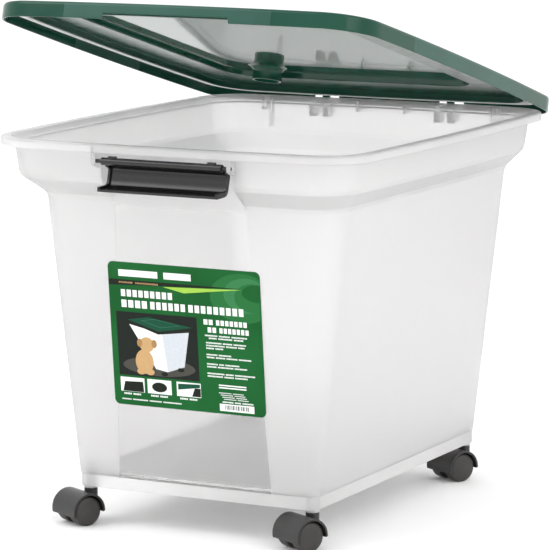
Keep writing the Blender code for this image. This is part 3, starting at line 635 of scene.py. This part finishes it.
def add_rim_ribs(form):
    top = TUB_HEIGHT - 1.4 * MM
    ribs = [  # distance from the middle, half width, front, back and foot
        (150 * MM, 2.5 * MM, 252 * MM, 269 * MM, 364 * MM),
        (141 * MM, 1.3 * MM, 251 * MM, 261 * MM, 345 * MM),
        (30 * MM, 1.3 * MM, 256 * MM, 272.6 * MM, 366 * MM),
    ]
    for distance, half_width, front, back, foot in ribs:
        for x in (-distance, distance):
            add_box(form, (x - half_width, front, foot), (x + half_width, back, top))


def add_latch_lugs(form):
    axis_y, axis_z = LATCH_AXIS.y, LATCH_AXIS.z
    top = TUB_HEIGHT - 2 * MM
    profile = [
        (axis_y + 9 * MM, axis_z - 8 * MM),
        (axis_y + 1 * MM, axis_z - 6 * MM),
        (axis_y - 4 * MM, axis_z - 3.5 * MM),
        (axis_y - 5 * MM, axis_z),
        (axis_y - 5 * MM, top),
        (axis_y + 9 * MM, top),
    ]
    for side in (-1, 1):
        start = side * (POCKET_HALF_X + 0.2 * MM)
        add_prism(form, [(start, y, z) for y, z in profile], (side * LUG_THICKNESS, 0, 0))


def caster_places():
    for y in (CASTER_FRONT, CASTER_BACK):
        for x in (-CASTER_X, CASTER_X):
            yield x, y


def add_sockets(form):
    bottom = SOCKET_BOTTOM - TUB_LIFT
    inside_floor = 0.6 * MM
    for x, y in caster_places():
        add_rod(form, (x, y, bottom), FLOOR_UNDER + inside_floor - bottom, SOCKET_RADIUS, "Z")
        add_rod(form, (x, y, FLOOR_UNDER + 0.2 * MM), BOSS_HEIGHT, BOSS_RADIUS, "Z")


def add_tub_bores(form):
    bottom = SOCKET_BOTTOM - TUB_LIFT
    for x, y in caster_places():
        length = FLOOR_UNDER + BOSS_HEIGHT - 2 * MM - bottom
        add_rod(form, (x, y, bottom - 1 * MM), length, SOCKET_BORE, "Z")
    for side in (-1, 1):
        start = (side * (KNUCKLE_INNER - 2 * MM), HINGE_AXIS.y, HINGE_AXIS.z)
        length = side * (KNUCKLE_OUTER - KNUCKLE_INNER + 4 * MM)
        add_rod(form, start, length, HINGE_PIN_RADIUS + RUNNING_GAP, "X", PIN_STEPS)
        start = (side * (POCKET_HALF_X - 1 * MM), LATCH_AXIS.y, LATCH_AXIS.z)
        length = side * (LUG_THICKNESS + 2.4 * MM)
        add_rod(form, start, length, LATCH_PIN_RADIUS + RUNNING_GAP, "X", PIN_STEPS)


def build_tub():
    tub = make_mesh("tub_shell", lambda form: add_loft(form, soften(tub_rings(), EDGE_ROUNDING)), TUB_MATRIX)
    for builder, operation in (
        (add_hinge_ears, "UNION"),
        (add_rim_ribs, "UNION"),
        (add_latch_lugs, "UNION"),
        (add_sockets, "UNION"),
        (add_tub_bores, "DIFFERENCE"),
    ):
        carve(tub, builder, operation, TUB_MATRIX)
    smooth(tub)
    finish_piece(tub, "tub", [tub_material()], ["bin_shell"])


# Lid and gasket


def lid_ring(height, section, lift=False, bows=LID_BOW):
    """A ring of the lid; a lifted one is raised in the latch's notch and over the hinge ears."""
    half_x, front, back, radius = section
    notch = [(NOTCH_HALF_X - 1.6 * MM, 1.0), (NOTCH_HALF_X, 0.0)]
    gap_in, gap_out = KNUCKLE_INNER - 4 * MM, KNUCKLE_OUTER + 4 * MM
    gaps = [(gap_in, 0.0), (gap_in + 1 * MM, 1.0), (gap_out - 1 * MM, 1.0), (gap_out, 0.0)]
    rise = 1.0 if lift else 0.0
    points = []
    for x, y, notch_share, gap_share in outline(half_x, front, back, radius, bows, notch, gaps):
        z = height + rise * (NOTCH_DEPTH * notch_share + (LID_SKIRT - 4.5 * MM) * gap_share)
        points.append((x, y, z))
    return points


def lid_section(inset):
    return LID_HALF_X - inset, LID_FRONT - inset, LID_BACK - inset, LID_RADIUS - inset


def plug_ring(height, inset):
    section = (PLUG_HALF_X - inset, PLUG_FRONT - inset, PLUG_BACK - inset, PLUG_RADIUS - inset)
    return lid_ring(height, section, bows=PLUG_BOW)


def panel_ring(height, inset):
    section = (PANEL_HALF_X - inset, PANEL_FRONT - inset, PANEL_BACK - inset, PANEL_RADIUS - inset)
    return lid_ring(height, section, bows=(0, 0, 0))


def lid_rings():
    """From the panel's underside, out over the plug ring and the skirt, and back across the top."""
    plug_foot = BAND_UNDER - PLUG_DEPTH
    panel_top = PANEL_UNDER + LID_SHEET
    return [
        panel_ring(PANEL_UNDER, 1.8 * MM),
        panel_ring(PANEL_UNDER - 1 * MM, 0.8 * MM),
        panel_ring(BAND_UNDER + 0.8 * MM, 0),
        panel_ring(BAND_UNDER, -0.8 * MM),
        plug_ring(BAND_UNDER, PLUG_WIDTH),
        plug_ring(plug_foot + 0.6 * MM, PLUG_WIDTH - 0.2 * MM),
        plug_ring(plug_foot, PLUG_WIDTH - 0.8 * MM),
        plug_ring(plug_foot, 0.8 * MM),
        plug_ring(plug_foot + 0.6 * MM, 0.2 * MM),
        plug_ring(BAND_UNDER, 0),
        lid_ring(BAND_UNDER, lid_section(LID_SHEET)),
        lid_ring(0.3 * MM, lid_section(LID_SHEET - 0.2 * MM), lift=True),
        lid_ring(0.0, lid_section(LID_SHEET - 0.6 * MM), lift=True),
        lid_ring(0.0, lid_section(0.5 * MM), lift=True),
        lid_ring(0.5 * MM, lid_section(0), lift=True),
        lid_ring(LID_SKIRT - 3 * MM, lid_section(0)),
        lid_ring(LID_SKIRT - 0.9 * MM, lid_section(0.9 * MM)),
        lid_ring(LID_SKIRT, lid_section(3 * MM)),
        panel_ring(LID_SKIRT, -LID_SHEET - 1 * MM),
        panel_ring(LID_SKIRT + 1 * MM, -LID_SHEET),
        panel_ring(panel_top - 1.2 * MM, 0.6 * MM - LID_SHEET),
        panel_ring(panel_top, 1.8 * MM - LID_SHEET),
    ]


def on_hinge(points):
    """Lid coordinates, moved to the hinge axis as origin."""
    return [Vector((x, y - HINGE_AXIS.y, z + LID_BOTTOM - HINGE_AXIS.z)) for x, y, z in points]


def add_hinge_knuckles(form):
    web_top = LID_BOTTOM + LID_SKIRT - 1 * MM - HINGE_AXIS.z
    half_thickness = 1.8 * MM
    for side in (-1, 1):
        low, high = sorted(side * end for end in KNUCKLE_WEB)
        add_box(form, (low, -half_thickness, -0.5 * MM), (high, half_thickness, web_top))


def add_hinge_pins(form):
    setback = 0.5 * MM
    for side in (-1, 1):
        start = (side * (KNUCKLE_INNER + setback), 0, 0)
        length = side * (KNUCKLE_OUTER - KNUCKLE_INNER - 2 * setback)
        add_rod(form, start, length, HINGE_PIN_RADIUS, "X", PIN_STEPS)


def add_panel_cup(form):
    """A round cup under the panel, open below, round its own axis; heights are from the lid skirt's edge."""
    top = PANEL_UNDER + 1 * MM
    inner = CUP_RADIUS - CUP_WALL
    profile = [
        (inner, top),
        (inner, CUP_FOOT + 0.5 * MM),
        (inner + 0.5 * MM, CUP_FOOT),
        (CUP_RADIUS - 1 * MM, CUP_FOOT),
        (CUP_RADIUS - 0.3 * MM, CUP_FOOT + 0.3 * MM),
        (CUP_RADIUS, CUP_FOOT + 1 * MM),
    ]
    steps = 10
    for step in range(steps + 1):
        turn = math.pi / 2 * step / steps
        outwards, upwards = CUP_FLARE * (1 - math.cos(turn)), CUP_FLARE * math.sin(turn)
        profile.append((CUP_RADIUS + outwards, PANEL_UNDER - CUP_FLARE + upwards))
    profile.append((CUP_RADIUS + CUP_FLARE, top))
    add_turned(form, profile, "Z", 72, looped=True)


def set_underside(lid):
    """The polished material under the panel and its recess, the glossy one, painted darker as shade, on the
    strip round them.
    """
    back_to_lid = LID_MATRIX.inverted()
    middle_y = (PANEL_BACK - PANEL_FRONT) / 2 - HINGE_AXIS.y
    reach_x, reach_y = PANEL_HALF_X, (PANEL_BACK + PANEL_FRONT) / 2
    mid_sheet = LID_BOTTOM + PANEL_UNDER + LID_SHEET / 2 - HINGE_AXIS.z
    rim_margin = 3 * MM
    strip_half_x, strip_front = LID_HALF_X - rim_margin, rim_margin - LID_FRONT - HINGE_AXIS.y
    band_middle = LID_BOTTOM + BAND_UNDER + LID_SHEET / 2 - HINGE_AXIS.z
    for face in lid.data.polygons:
        centre = back_to_lid @ face.center
        inside = abs(centre.x) < reach_x and abs(centre.y - middle_y) < reach_y
        if inside and centre.z < mid_sheet:
            face.material_index = 1
        elif abs(centre.x) < strip_half_x and centre.z < band_middle and centre.y > strip_front:
            face.material_index = 2


def build_lid():
    rings = soften([on_hinge(ring) for ring in lid_rings()], EDGE_ROUNDING)
    lid = make_mesh("lid_shell", lambda form: add_loft(form, rings), LID_MATRIX)
    cup_place = (CUP_CENTRE[0], CUP_CENTRE[1] - HINGE_AXIS.y, LID_BOTTOM - HINGE_AXIS.z)
    carve(lid, add_panel_cup, "UNION", LID_MATRIX @ Matrix.Translation(cup_place))
    carve(lid, add_hinge_knuckles, "UNION", LID_MATRIX)
    carve(lid, add_hinge_pins, "UNION", LID_MATRIX)
    smooth(lid)
    finish_piece(lid, "lid", lid_materials(), ["lid"])
    set_underside(lid)


def build_gasket():
    top = LID_SKIRT - LID_SHEET - FIT_GAP
    foot = TUB_HEIGHT - LID_BOTTOM + FIT_GAP

    def ring(height, inset):
        sides = (GASKET_HALF_X, GASKET_FRONT, GASKET_BACK, GASKET_RADIUS)
        flat = outline(*(side - inset for side in sides), GASKET_BOW)
        return on_hinge([(x, y, height) for x, y, _, _ in flat])

    section = [
        (top, 0),
        (top, 6 * MM),
        (foot + 1.2 * MM, 5.6 * MM),
        (foot, 4 * MM),
        (foot, 1.6 * MM),
        (foot + 1.2 * MM, 0),
    ]
    rings = soften([ring(height, inset) for height, inset in section], 1.2 * MM, looped=True)
    gasket = make_mesh("gasket_ring", lambda form: add_loft(form, rings, looped=True), LID_MATRIX)
    smooth(gasket, SOFT_ANGLE)
    finish_piece(gasket, "lid", [gasket_material()], ["lid_gasket"])


# Latch


def smooth_curve(points, steps):
    """A Catmull-Rom curve through the points."""
    points = [Vector(point) * MM for point in points]
    padded = [2 * points[0] - points[1], *points, 2 * points[-1] - points[-2]]
    curve = []
    for a, b, c, d in zip(padded, padded[1:], padded[2:], padded[3:]):
        for step in range(steps):
            t = step / steps
            bend = (2 * a - 5 * b + 4 * c - d) * t ** 2 + (3 * b - a - 3 * c + d) * t ** 3
            curve.append((2 * b + (c - a) * t + bend) / 2)
    return [*curve, points[-1]]


def band(curve, half_thickness, shift=0.0):
    """The closed outline of a strip along a curve, in (outwards, up)."""
    left, right = [], []
    for i, point in enumerate(curve):
        ahead = curve[min(i + 1, len(curve) - 1)] - curve[max(i - 1, 0)]
        normal = Vector((-ahead.y, ahead.x)).normalized()
        left.append(point + normal * (half_thickness + shift))
        right.append(point - normal * (half_thickness - shift))
    return left + right[::-1]


def build_latch():
    """The blade with its hub, stub pins, end ribs and two tabs; forwards is -Y."""

    def section(points, x):
        return [(x, -outwards, up) for outwards, up in points]

    def blade(form):
        side = section(band(smooth_curve(LATCH_CURVE, 5), LATCH_THICKNESS / 2), -LATCH_HALF_X)
        add_prism(form, side, (2 * LATCH_HALF_X, 0, 0))

    def hub(form):
        add_rod(form, (-LATCH_HALF_X, 0, 0), 2 * LATCH_HALF_X, LATCH_HUB_RADIUS, "X")

    def pins(form):
        pin_end = POCKET_HALF_X + 3 * MM
        add_rod(form, (-pin_end, 0, 0), 2 * pin_end, LATCH_PIN_RADIUS, "X", PIN_STEPS)

    def trims(form):
        rib = band(smooth_curve(LATCH_CURVE[1:], 5), 2.4 * MM, 1.4 * MM)
        rib_width, setback = 2.5 * MM, 0.1 * MM
        for start in (setback - LATCH_HALF_X, LATCH_HALF_X - rib_width - setback):
            add_prism(form, section(rib, start), (rib_width, 0, 0))
        tab_half_width, tab_half_thickness, tab_height = 4 * MM, 2.4 * MM, 5.6 * MM
        for x in (-LATCH_TAB_X, LATCH_TAB_X):
            low = (x - tab_half_width, -tab_half_thickness, 0)
            add_box(form, low, (x + tab_half_width, tab_half_thickness, tab_height))

    latch = make_mesh("latch_blade", blade, LATCH_MATRIX)
    for builder in (hub, pins, trims):
        carve(latch, builder, "UNION", LATCH_MATRIX)
    bevel(latch, 0.35 * MM)
    smooth(latch, SOFT_ANGLE)
    plastic = moulded_material("latch_plastic", (0.007, 0.007, 0.007), (0.013, 0.012, 0.012), 0.2)
    finish_piece(latch, "latch", [plastic], ["latch_handle"])


# Label: places on it are (share of the width from the left, share of the height from the top)

WHITE, BLACK, TAN, LIME = (0.9, 0.92, 0.9), (0.012, 0.011, 0.01), (0.58, 0.36, 0.17), (0.35, 0.6, 0.08)
BROWN, LIGHT_GREEN, MIST_GREEN = (0.4, 0.22, 0.09), (0.02, 0.15, 0.04), (0.04, 0.2, 0.07)
DARK_PICTURE, PICTURE_FLOOR, PICTURE_SHADE = (0.012, 0.011, 0.013), (0.07, 0.062, 0.058), (0.62, 0.65, 0.7)
PICTURE_GREEN, GROOVE_GREEN = (0.008, 0.07, 0.04), (0.03, 0.13, 0.085)


def label_frame():
    """The label's matrix in tub coordinates and its half height, on the sloping front wall."""
    foot, head = wall_section(LABEL_LOW)[1], wall_section(LABEL_HIGH)[1]
    slope = math.atan2(head - foot, LABEL_HIGH - LABEL_LOW)
    half_height = (LABEL_HIGH - LABEL_LOW) / math.cos(slope) / 2
    centre = Vector((0, -(foot + head) / 2 - FIT_GAP, (LABEL_LOW + LABEL_HIGH) / 2))
    return TUB_MATRIX @ Matrix.Translation(centre) @ Matrix.Rotation(math.pi / 2 + slope, 4, "X"), half_height


class Print:
    """Collects the label's inked shapes, as thin solids in layers over the film."""

    def __init__(self, form, half_height):
        self.form = form
        self.half_height = half_height
        self.ink = form.loops.layers.float_color.new("ink")

    def shape(self, corners, colour, layer=1):
        low = LABEL_THICKNESS + INK_THICKNESS * (2 * layer - 1)
        face = [
            (LABEL_HALF_X * (2 * u - 1), self.half_height * (1 - 2 * v), low) for u, v in corners
        ]
        known = set(self.form.faces)
        add_prism(self.form, face, (0, 0, INK_THICKNESS))
        for added in set(self.form.faces) - known:
            for loop in added.loops:
                loop[self.ink] = (*colour, 1)

    def bar(self, left, top, right, bottom, colour=WHITE, layer=1):
        self.shape([(left, bottom), (right, bottom), (right, top), (left, top)], colour, layer)

    def words(self, left, top, height, widths, colour=WHITE, gap=0.022):
        """A line of plain blocks in groups, where the real label has words."""
        block, space = height * 0.62, height * 0.22
        for width in widths:
            count = max(1, round((width + space) / (block + space)))
            pitch = (width + space) / count
            for i in range(count):
                start = left + pitch * i
                self.bar(start, top, start + pitch - space, top + height, colour)
            left += width + gap

    def oval(self, u, v, half_u, half_v, colour, layer=1, limit=1.0):
        corners = []
        for step in range(OVAL_STEPS):
            turn = -math.tau * step / OVAL_STEPS
            corners.append((min(u + half_u * math.cos(turn), limit), v + half_v * math.sin(turn)))
        self.shape(corners, colour, layer)


def print_arcs(sheet):
    """Pale arcs behind the heading, each oval a little above the one before it."""
    right_edge = 0.995
    sheet.oval(0.88, 0.19, 0.21, 0.17, LIGHT_GREEN, 0.5, right_edge)
    sheet.oval(0.91, 0.17, 0.15, 0.12, MIST_GREEN, 0.62, right_edge)
    sheet.oval(0.95, 0.185, 0.12, 0.10, LIGHT_GREEN, 0.74, right_edge)
    sheet.oval(0.98, 0.15, 0.10, 0.06, FILM_GREEN, 0.86, right_edge)


def print_heading(sheet):
    sheet.bar(0.07, 0.052, 0.33, 0.098)
    sheet.bar(0.37, 0.052, 0.55, 0.098)
    sheet.shape([(0.004, 0.163), (0.89, 0.125), (0.004, 0.121)], BLACK)
    sheet.words(0.07, 0.134, 0.012, (0.09, 0.15), TAN, 0.02)
    sheet.shape([(0.36, 0.152), (0.50, 0.185), (0.67, 0.160), (0.88, 0.131)], LIME)
    sheet.words(0.08, 0.190, 0.048, (0.34,))
    sheet.words(0.08, 0.262, 0.052, (0.17, 0.23, 0.36))


def print_picture(sheet):
    """A plain drawing of a bin and an animal on a dark ground, over three small views."""
    sheet.bar(0.04, 0.345, 0.575, 0.79, DARK_PICTURE)
    sheet.oval(0.31, 0.715, 0.24, 0.065, PICTURE_FLOOR, 1.3)
    sheet.shape([(0.29, 0.73), (0.368, 0.745), (0.34, 0.48), (0.125, 0.43)], WHITE, 2)
    sheet.shape([(0.368, 0.745), (0.48, 0.70), (0.52, 0.45), (0.34, 0.48)], PICTURE_SHADE, 2)
    sheet.shape([(0.095, 0.405), (0.315, 0.487), (0.565, 0.448), (0.57, 0.415), (0.25, 0.365)], BLACK, 3)
    sheet.shape([(0.115, 0.398), (0.32, 0.466), (0.545, 0.42), (0.255, 0.37)], PICTURE_GREEN, 4)
    sheet.shape([(0.20, 0.398), (0.335, 0.44), (0.47, 0.414), (0.29, 0.38)], GROOVE_GREEN, 5)
    sheet.shape([(0.22, 0.399), (0.336, 0.434), (0.45, 0.413), (0.292, 0.385)], PICTURE_GREEN, 6)
    for u, v in ((0.345, 0.762), (0.455, 0.722)):
        sheet.oval(u, v, 0.022, 0.014, BLACK, 2.5)
    sheet.oval(0.215, 0.685, 0.06, 0.085, TAN, 3)
    sheet.oval(0.235, 0.565, 0.048, 0.052, TAN, 4)
    for u in (0.188, 0.285):
        sheet.oval(u, 0.555, 0.017, 0.028, BROWN, 5)
    for u in (0.19, 0.25):
        sheet.oval(u, 0.755, 0.028, 0.022, TAN, 4)
    for u in (0.045, 0.225, 0.42):
        sheet.bar(u, 0.805, u + 0.16, 0.905)
        sheet.words(u + 0.02, 0.915, 0.012, (0.05, 0.05), gap=0.012)
    sheet.shape([(0.06, 0.903), (0.2, 0.903), (0.195, 0.83), (0.075, 0.835)], BLACK, 2)
    sheet.oval(0.305, 0.858, 0.05, 0.034, BLACK, 2)
    sheet.shape([(0.52, 0.9), (0.578, 0.9), (0.578, 0.84), (0.54, 0.842)], BLACK, 2)
    sheet.shape([(0.43, 0.86), (0.575, 0.835), (0.575, 0.812), (0.43, 0.818)], PICTURE_GREEN, 2)


def print_column(sheet):
    sheet.words(0.62, 0.352, 0.036, (0.06, 0.20))
    sheet.words(0.645, 0.405, 0.036, (0.055, 0.19))
    sheet.words(0.625, 0.458, 0.010, (0.08, 0.07, 0.1), gap=0.012)
    sheet.words(0.65, 0.476, 0.010, (0.05, 0.09, 0.06), gap=0.012)
    paragraphs = [
        (0.508, ((0.10, 0.06, 0.08), (0.12, 0.07, 0.04), (0.05, 0.05))),
        (0.590, ((0.07, 0.08), (0.05, 0.06, 0.07, 0.08))),
        (0.655, ((0.07, 0.03, 0.09), (0.06, 0.10, 0.08))),
        (0.720, ((0.11, 0.05, 0.13), (0.10, 0.06, 0.08))),
    ]
    for top, lines in paragraphs:
        for row, widths in enumerate(lines):
            sheet.words(0.63, top + 0.019 * row, 0.010, widths, gap=0.010)


def print_foot(sheet):
    for row in range(2):
        sheet.bar(0.70, 0.797 + 0.017 * row, 0.88, 0.806 + 0.017 * row)
    for row in range(4):
        sheet.words(0.70 + 0.01 * row, 0.852 + 0.014 * row, 0.006, (0.08, 0.07), gap=0.01)
    sheet.words(0.72, 0.912, 0.010, (0.07, 0.04, 0.07), gap=0.01)
    sheet.bar(0.70, 0.930, 0.925, 0.980)
    for stripe in range(15):
        left = 0.735 + 0.0105 * stripe
        width = 0.003 + 0.003 * (stripe * 7 % 3) / 2
        sheet.bar(left, 0.938, left + width, 0.968, BLACK, 2)
    sheet.words(0.05, 0.955, 0.009, (0.06, 0.1, 0.08, 0.12), gap=0.012)


def build_label():
    matrix, half_height = label_frame()

    def film(form):
        flat = outline(LABEL_HALF_X, half_height, half_height, LABEL_RADIUS)
        add_prism(form, [(x, y, 0) for x, y, _, _ in flat], (0, 0, LABEL_THICKNESS))

    def inks(form):
        sheet = Print(form, half_height)
        for part in (print_arcs, print_heading, print_picture, print_column, print_foot):
            part(sheet)

    film_material, ink_material = label_materials()
    sheet = make_mesh("label_sheet", film, matrix)
    smooth(sheet, SOFT_ANGLE)
    finish_piece(sheet, "tub", [film_material], ["label"])
    printed = make_mesh("label_print", inks, matrix)
    finish_piece(printed, "tub", [ink_material])


# Casters


def hood_profile():
    """The hood's side view round the wheels' axis, as (forwards, up)."""
    first, last = HOOD_ARC
    steps = 72
    arc = []
    for step in range(steps + 1):
        turn = math.radians(first + (last - first) * step / steps)
        arc.append((HOOD_RADIUS * math.cos(turn), HOOD_RADIUS * math.sin(turn)))
    return arc + [(-8 * MM, -7 * MM), (8 * MM, -5 * MM)]


def build_hood(name, matrix, material):
    centre_y, centre_z = -CASTER_TRAIL, WHEEL_RADIUS

    def hood(form):
        start = -HOOD_HALF_WIDTH
        side = [(start, centre_y + forwards, centre_z + up) for forwards, up in hood_profile()]
        add_prism(form, side, (2 * HOOD_HALF_WIDTH, 0, 0))

    def neck(form):
        add_rod(form, (0, 0, NECK_FOOT), NECK_TOP - NECK_FOOT, NECK_RADIUS, "Z")

    def spaces(form):
        for side in (-1, 1):
            start = (side * HOOD_WEB, centre_y, centre_z)
            add_rod(form, start, side * 2 * HOOD_HALF_WIDTH, HOOD_INNER, "X", WHEEL_STEPS)

    def bores(form):
        add_rod(form, (0, 0, STEM_FOOT - 1 * MM), NECK_TOP, STEM_RADIUS + RUNNING_GAP, "Z", 32)
        start = (-2 * HOOD_WEB, centre_y, centre_z)
        add_rod(form, start, 4 * HOOD_WEB, AXLE_RADIUS + FIT_GAP, "X", PIN_STEPS)

    body = make_mesh(f"hood_{name}", hood, matrix)
    carve(body, neck, "UNION", matrix)
    carve(body, spaces, "DIFFERENCE", matrix)
    carve(body, bores, "DIFFERENCE", matrix)
    bevel(body, 0.3 * MM)
    smooth(body, SOFT_ANGLE)
    finish_piece(body, f"caster_{name}", [material], [f"caster_hood_{name}"])


def add_wheel(form, side):
    """A wheel with a rounded tread, a shallow domed face and a blind bore on its inner side."""
    bore = AXLE_RADIUS + FIT_GAP
    inner, outer = WHEEL_INNER, WHEEL_OUTER
    profile = [
        (bore, outer - 4 * MM),
        (bore, inner),
        (WHEEL_RADIUS - 1.5 * MM, inner),
        (WHEEL_RADIUS - 0.45 * MM, inner + 0.45 * MM),
        (WHEEL_RADIUS, inner + 1.5 * MM),
        (WHEEL_RADIUS, outer - 4.5 * MM),
    ]
    dome_depth, dome_steps = 4.5 * MM, 13
    for step in range(1, dome_steps):
        turn = math.radians(90) * step / dome_steps
        radius = WHEEL_RADIUS * math.cos(turn) ** 0.55
        profile.append((radius, outer - dome_depth + dome_depth * math.sin(turn) ** 0.8))
    add_turned(form, [(radius, side * distance) for radius, distance in profile], "X", WHEEL_STEPS)


def build_caster(name, materials):
    swivel = JOINTS[f"{name}_swivel"]
    axle = Vector(JOINTS[f"{name}_left_wheel_spin"]["axis"])
    heading = Matrix.Rotation(math.atan2(axle.y, axle.x), 4, "Z")
    x, y, _ = swivel["pos_m"]
    swivel_matrix = Matrix.Translation((x, y, 0)) @ heading
    build_hood(name, swivel_matrix, materials["hood"])
    wheel_matrix = swivel_matrix @ Matrix.Translation((0, -CASTER_TRAIL, WHEEL_RADIUS))
    for hand, side in (("left", -1), ("right", 1)):
        wheel = make_mesh(f"tread_{name}_{hand}", lambda form: add_wheel(form, side), wheel_matrix)
        smooth(wheel)
        node = f"wheel_{name}_{hand}"
        finish_piece(wheel, node, [materials["wheel"]], [node])
    for node in (f"caster_stem_{name}", f"grip_ring_{name}", f"caster_axle_{name}"):
        carried = frame["nodes"][node]
        carried.data.materials.clear()
        carried.data.materials.append(materials["steel"])


def build_casters():
    materials = {
        "hood": moulded_material("hood_plastic", (0.014, 0.013, 0.013), (0.022, 0.020, 0.020), 0.36),
        "wheel": moulded_material("wheel_plastic", (0.024, 0.021, 0.019), (0.036, 0.031, 0.029), 0.48),
        "steel": steel_material(),
    }
    for name in CASTERS:
        build_caster(name, materials)


# Stage


def build_stage():
    """A white room: an even sky, a pale floor and two large soft lamps."""
    scene = bpy.context.scene
    world = bpy.data.worlds.new("studio")
    world.use_nodes = True
    world.node_tree.nodes["Background"].inputs["Color"].default_value = (1, 1, 1, 1)
    world.node_tree.nodes["Background"].inputs["Strength"].default_value = SKY_STRENGTH
    scene.world = world
    scene.view_settings.view_transform = "Standard"

    form = bmesh.new()
    bmesh.ops.create_grid(form, x_segments=1, y_segments=1, size=FLOOR_SIZE)
    mesh = bpy.data.meshes.new("floor")
    form.to_mesh(mesh)
    form.free()
    floor = bpy.data.objects.new("floor", mesh)
    scene.collection.objects.link(floor)
    pale, _, _ = new_material("floor_white", FLOOR_TONE, 0.9)
    floor.data.materials.append(pale)

    for name, position, size, power in LAMPS:
        lamp = bpy.data.lights.new(name, "AREA")
        lamp.size = size
        lamp.energy = power
        obj = bpy.data.objects.new(name, lamp)
        obj.location = position
        obj.rotation_euler = (LAMP_TARGET - Vector(position)).to_track_quat("-Z", "Y").to_euler()
        scene.collection.objects.link(obj)


def build_camera():
    camera = bpy.data.cameras.new("camera")
    camera.lens = CAMERA_LENS
    camera.sensor_width = CAMERA_SENSOR
    camera.shift_x, camera.shift_y = CAMERA_SHIFT
    camera.clip_end = 200
    obj = bpy.data.objects.new("camera", camera)
    x, y, height = CAMERA_PLACE
    obj.location = (x, y, TUB_LIFT + height)
    obj.rotation_euler = (math.pi / 2 - CAMERA_DIP, 0, CAMERA_TURN)
    bpy.context.scene.collection.objects.link(obj)
    bpy.context.scene.camera = obj


build_camera()
build_stage()
build_tub()
build_lid()
build_gasket()
build_latch()
build_label()
build_casters()
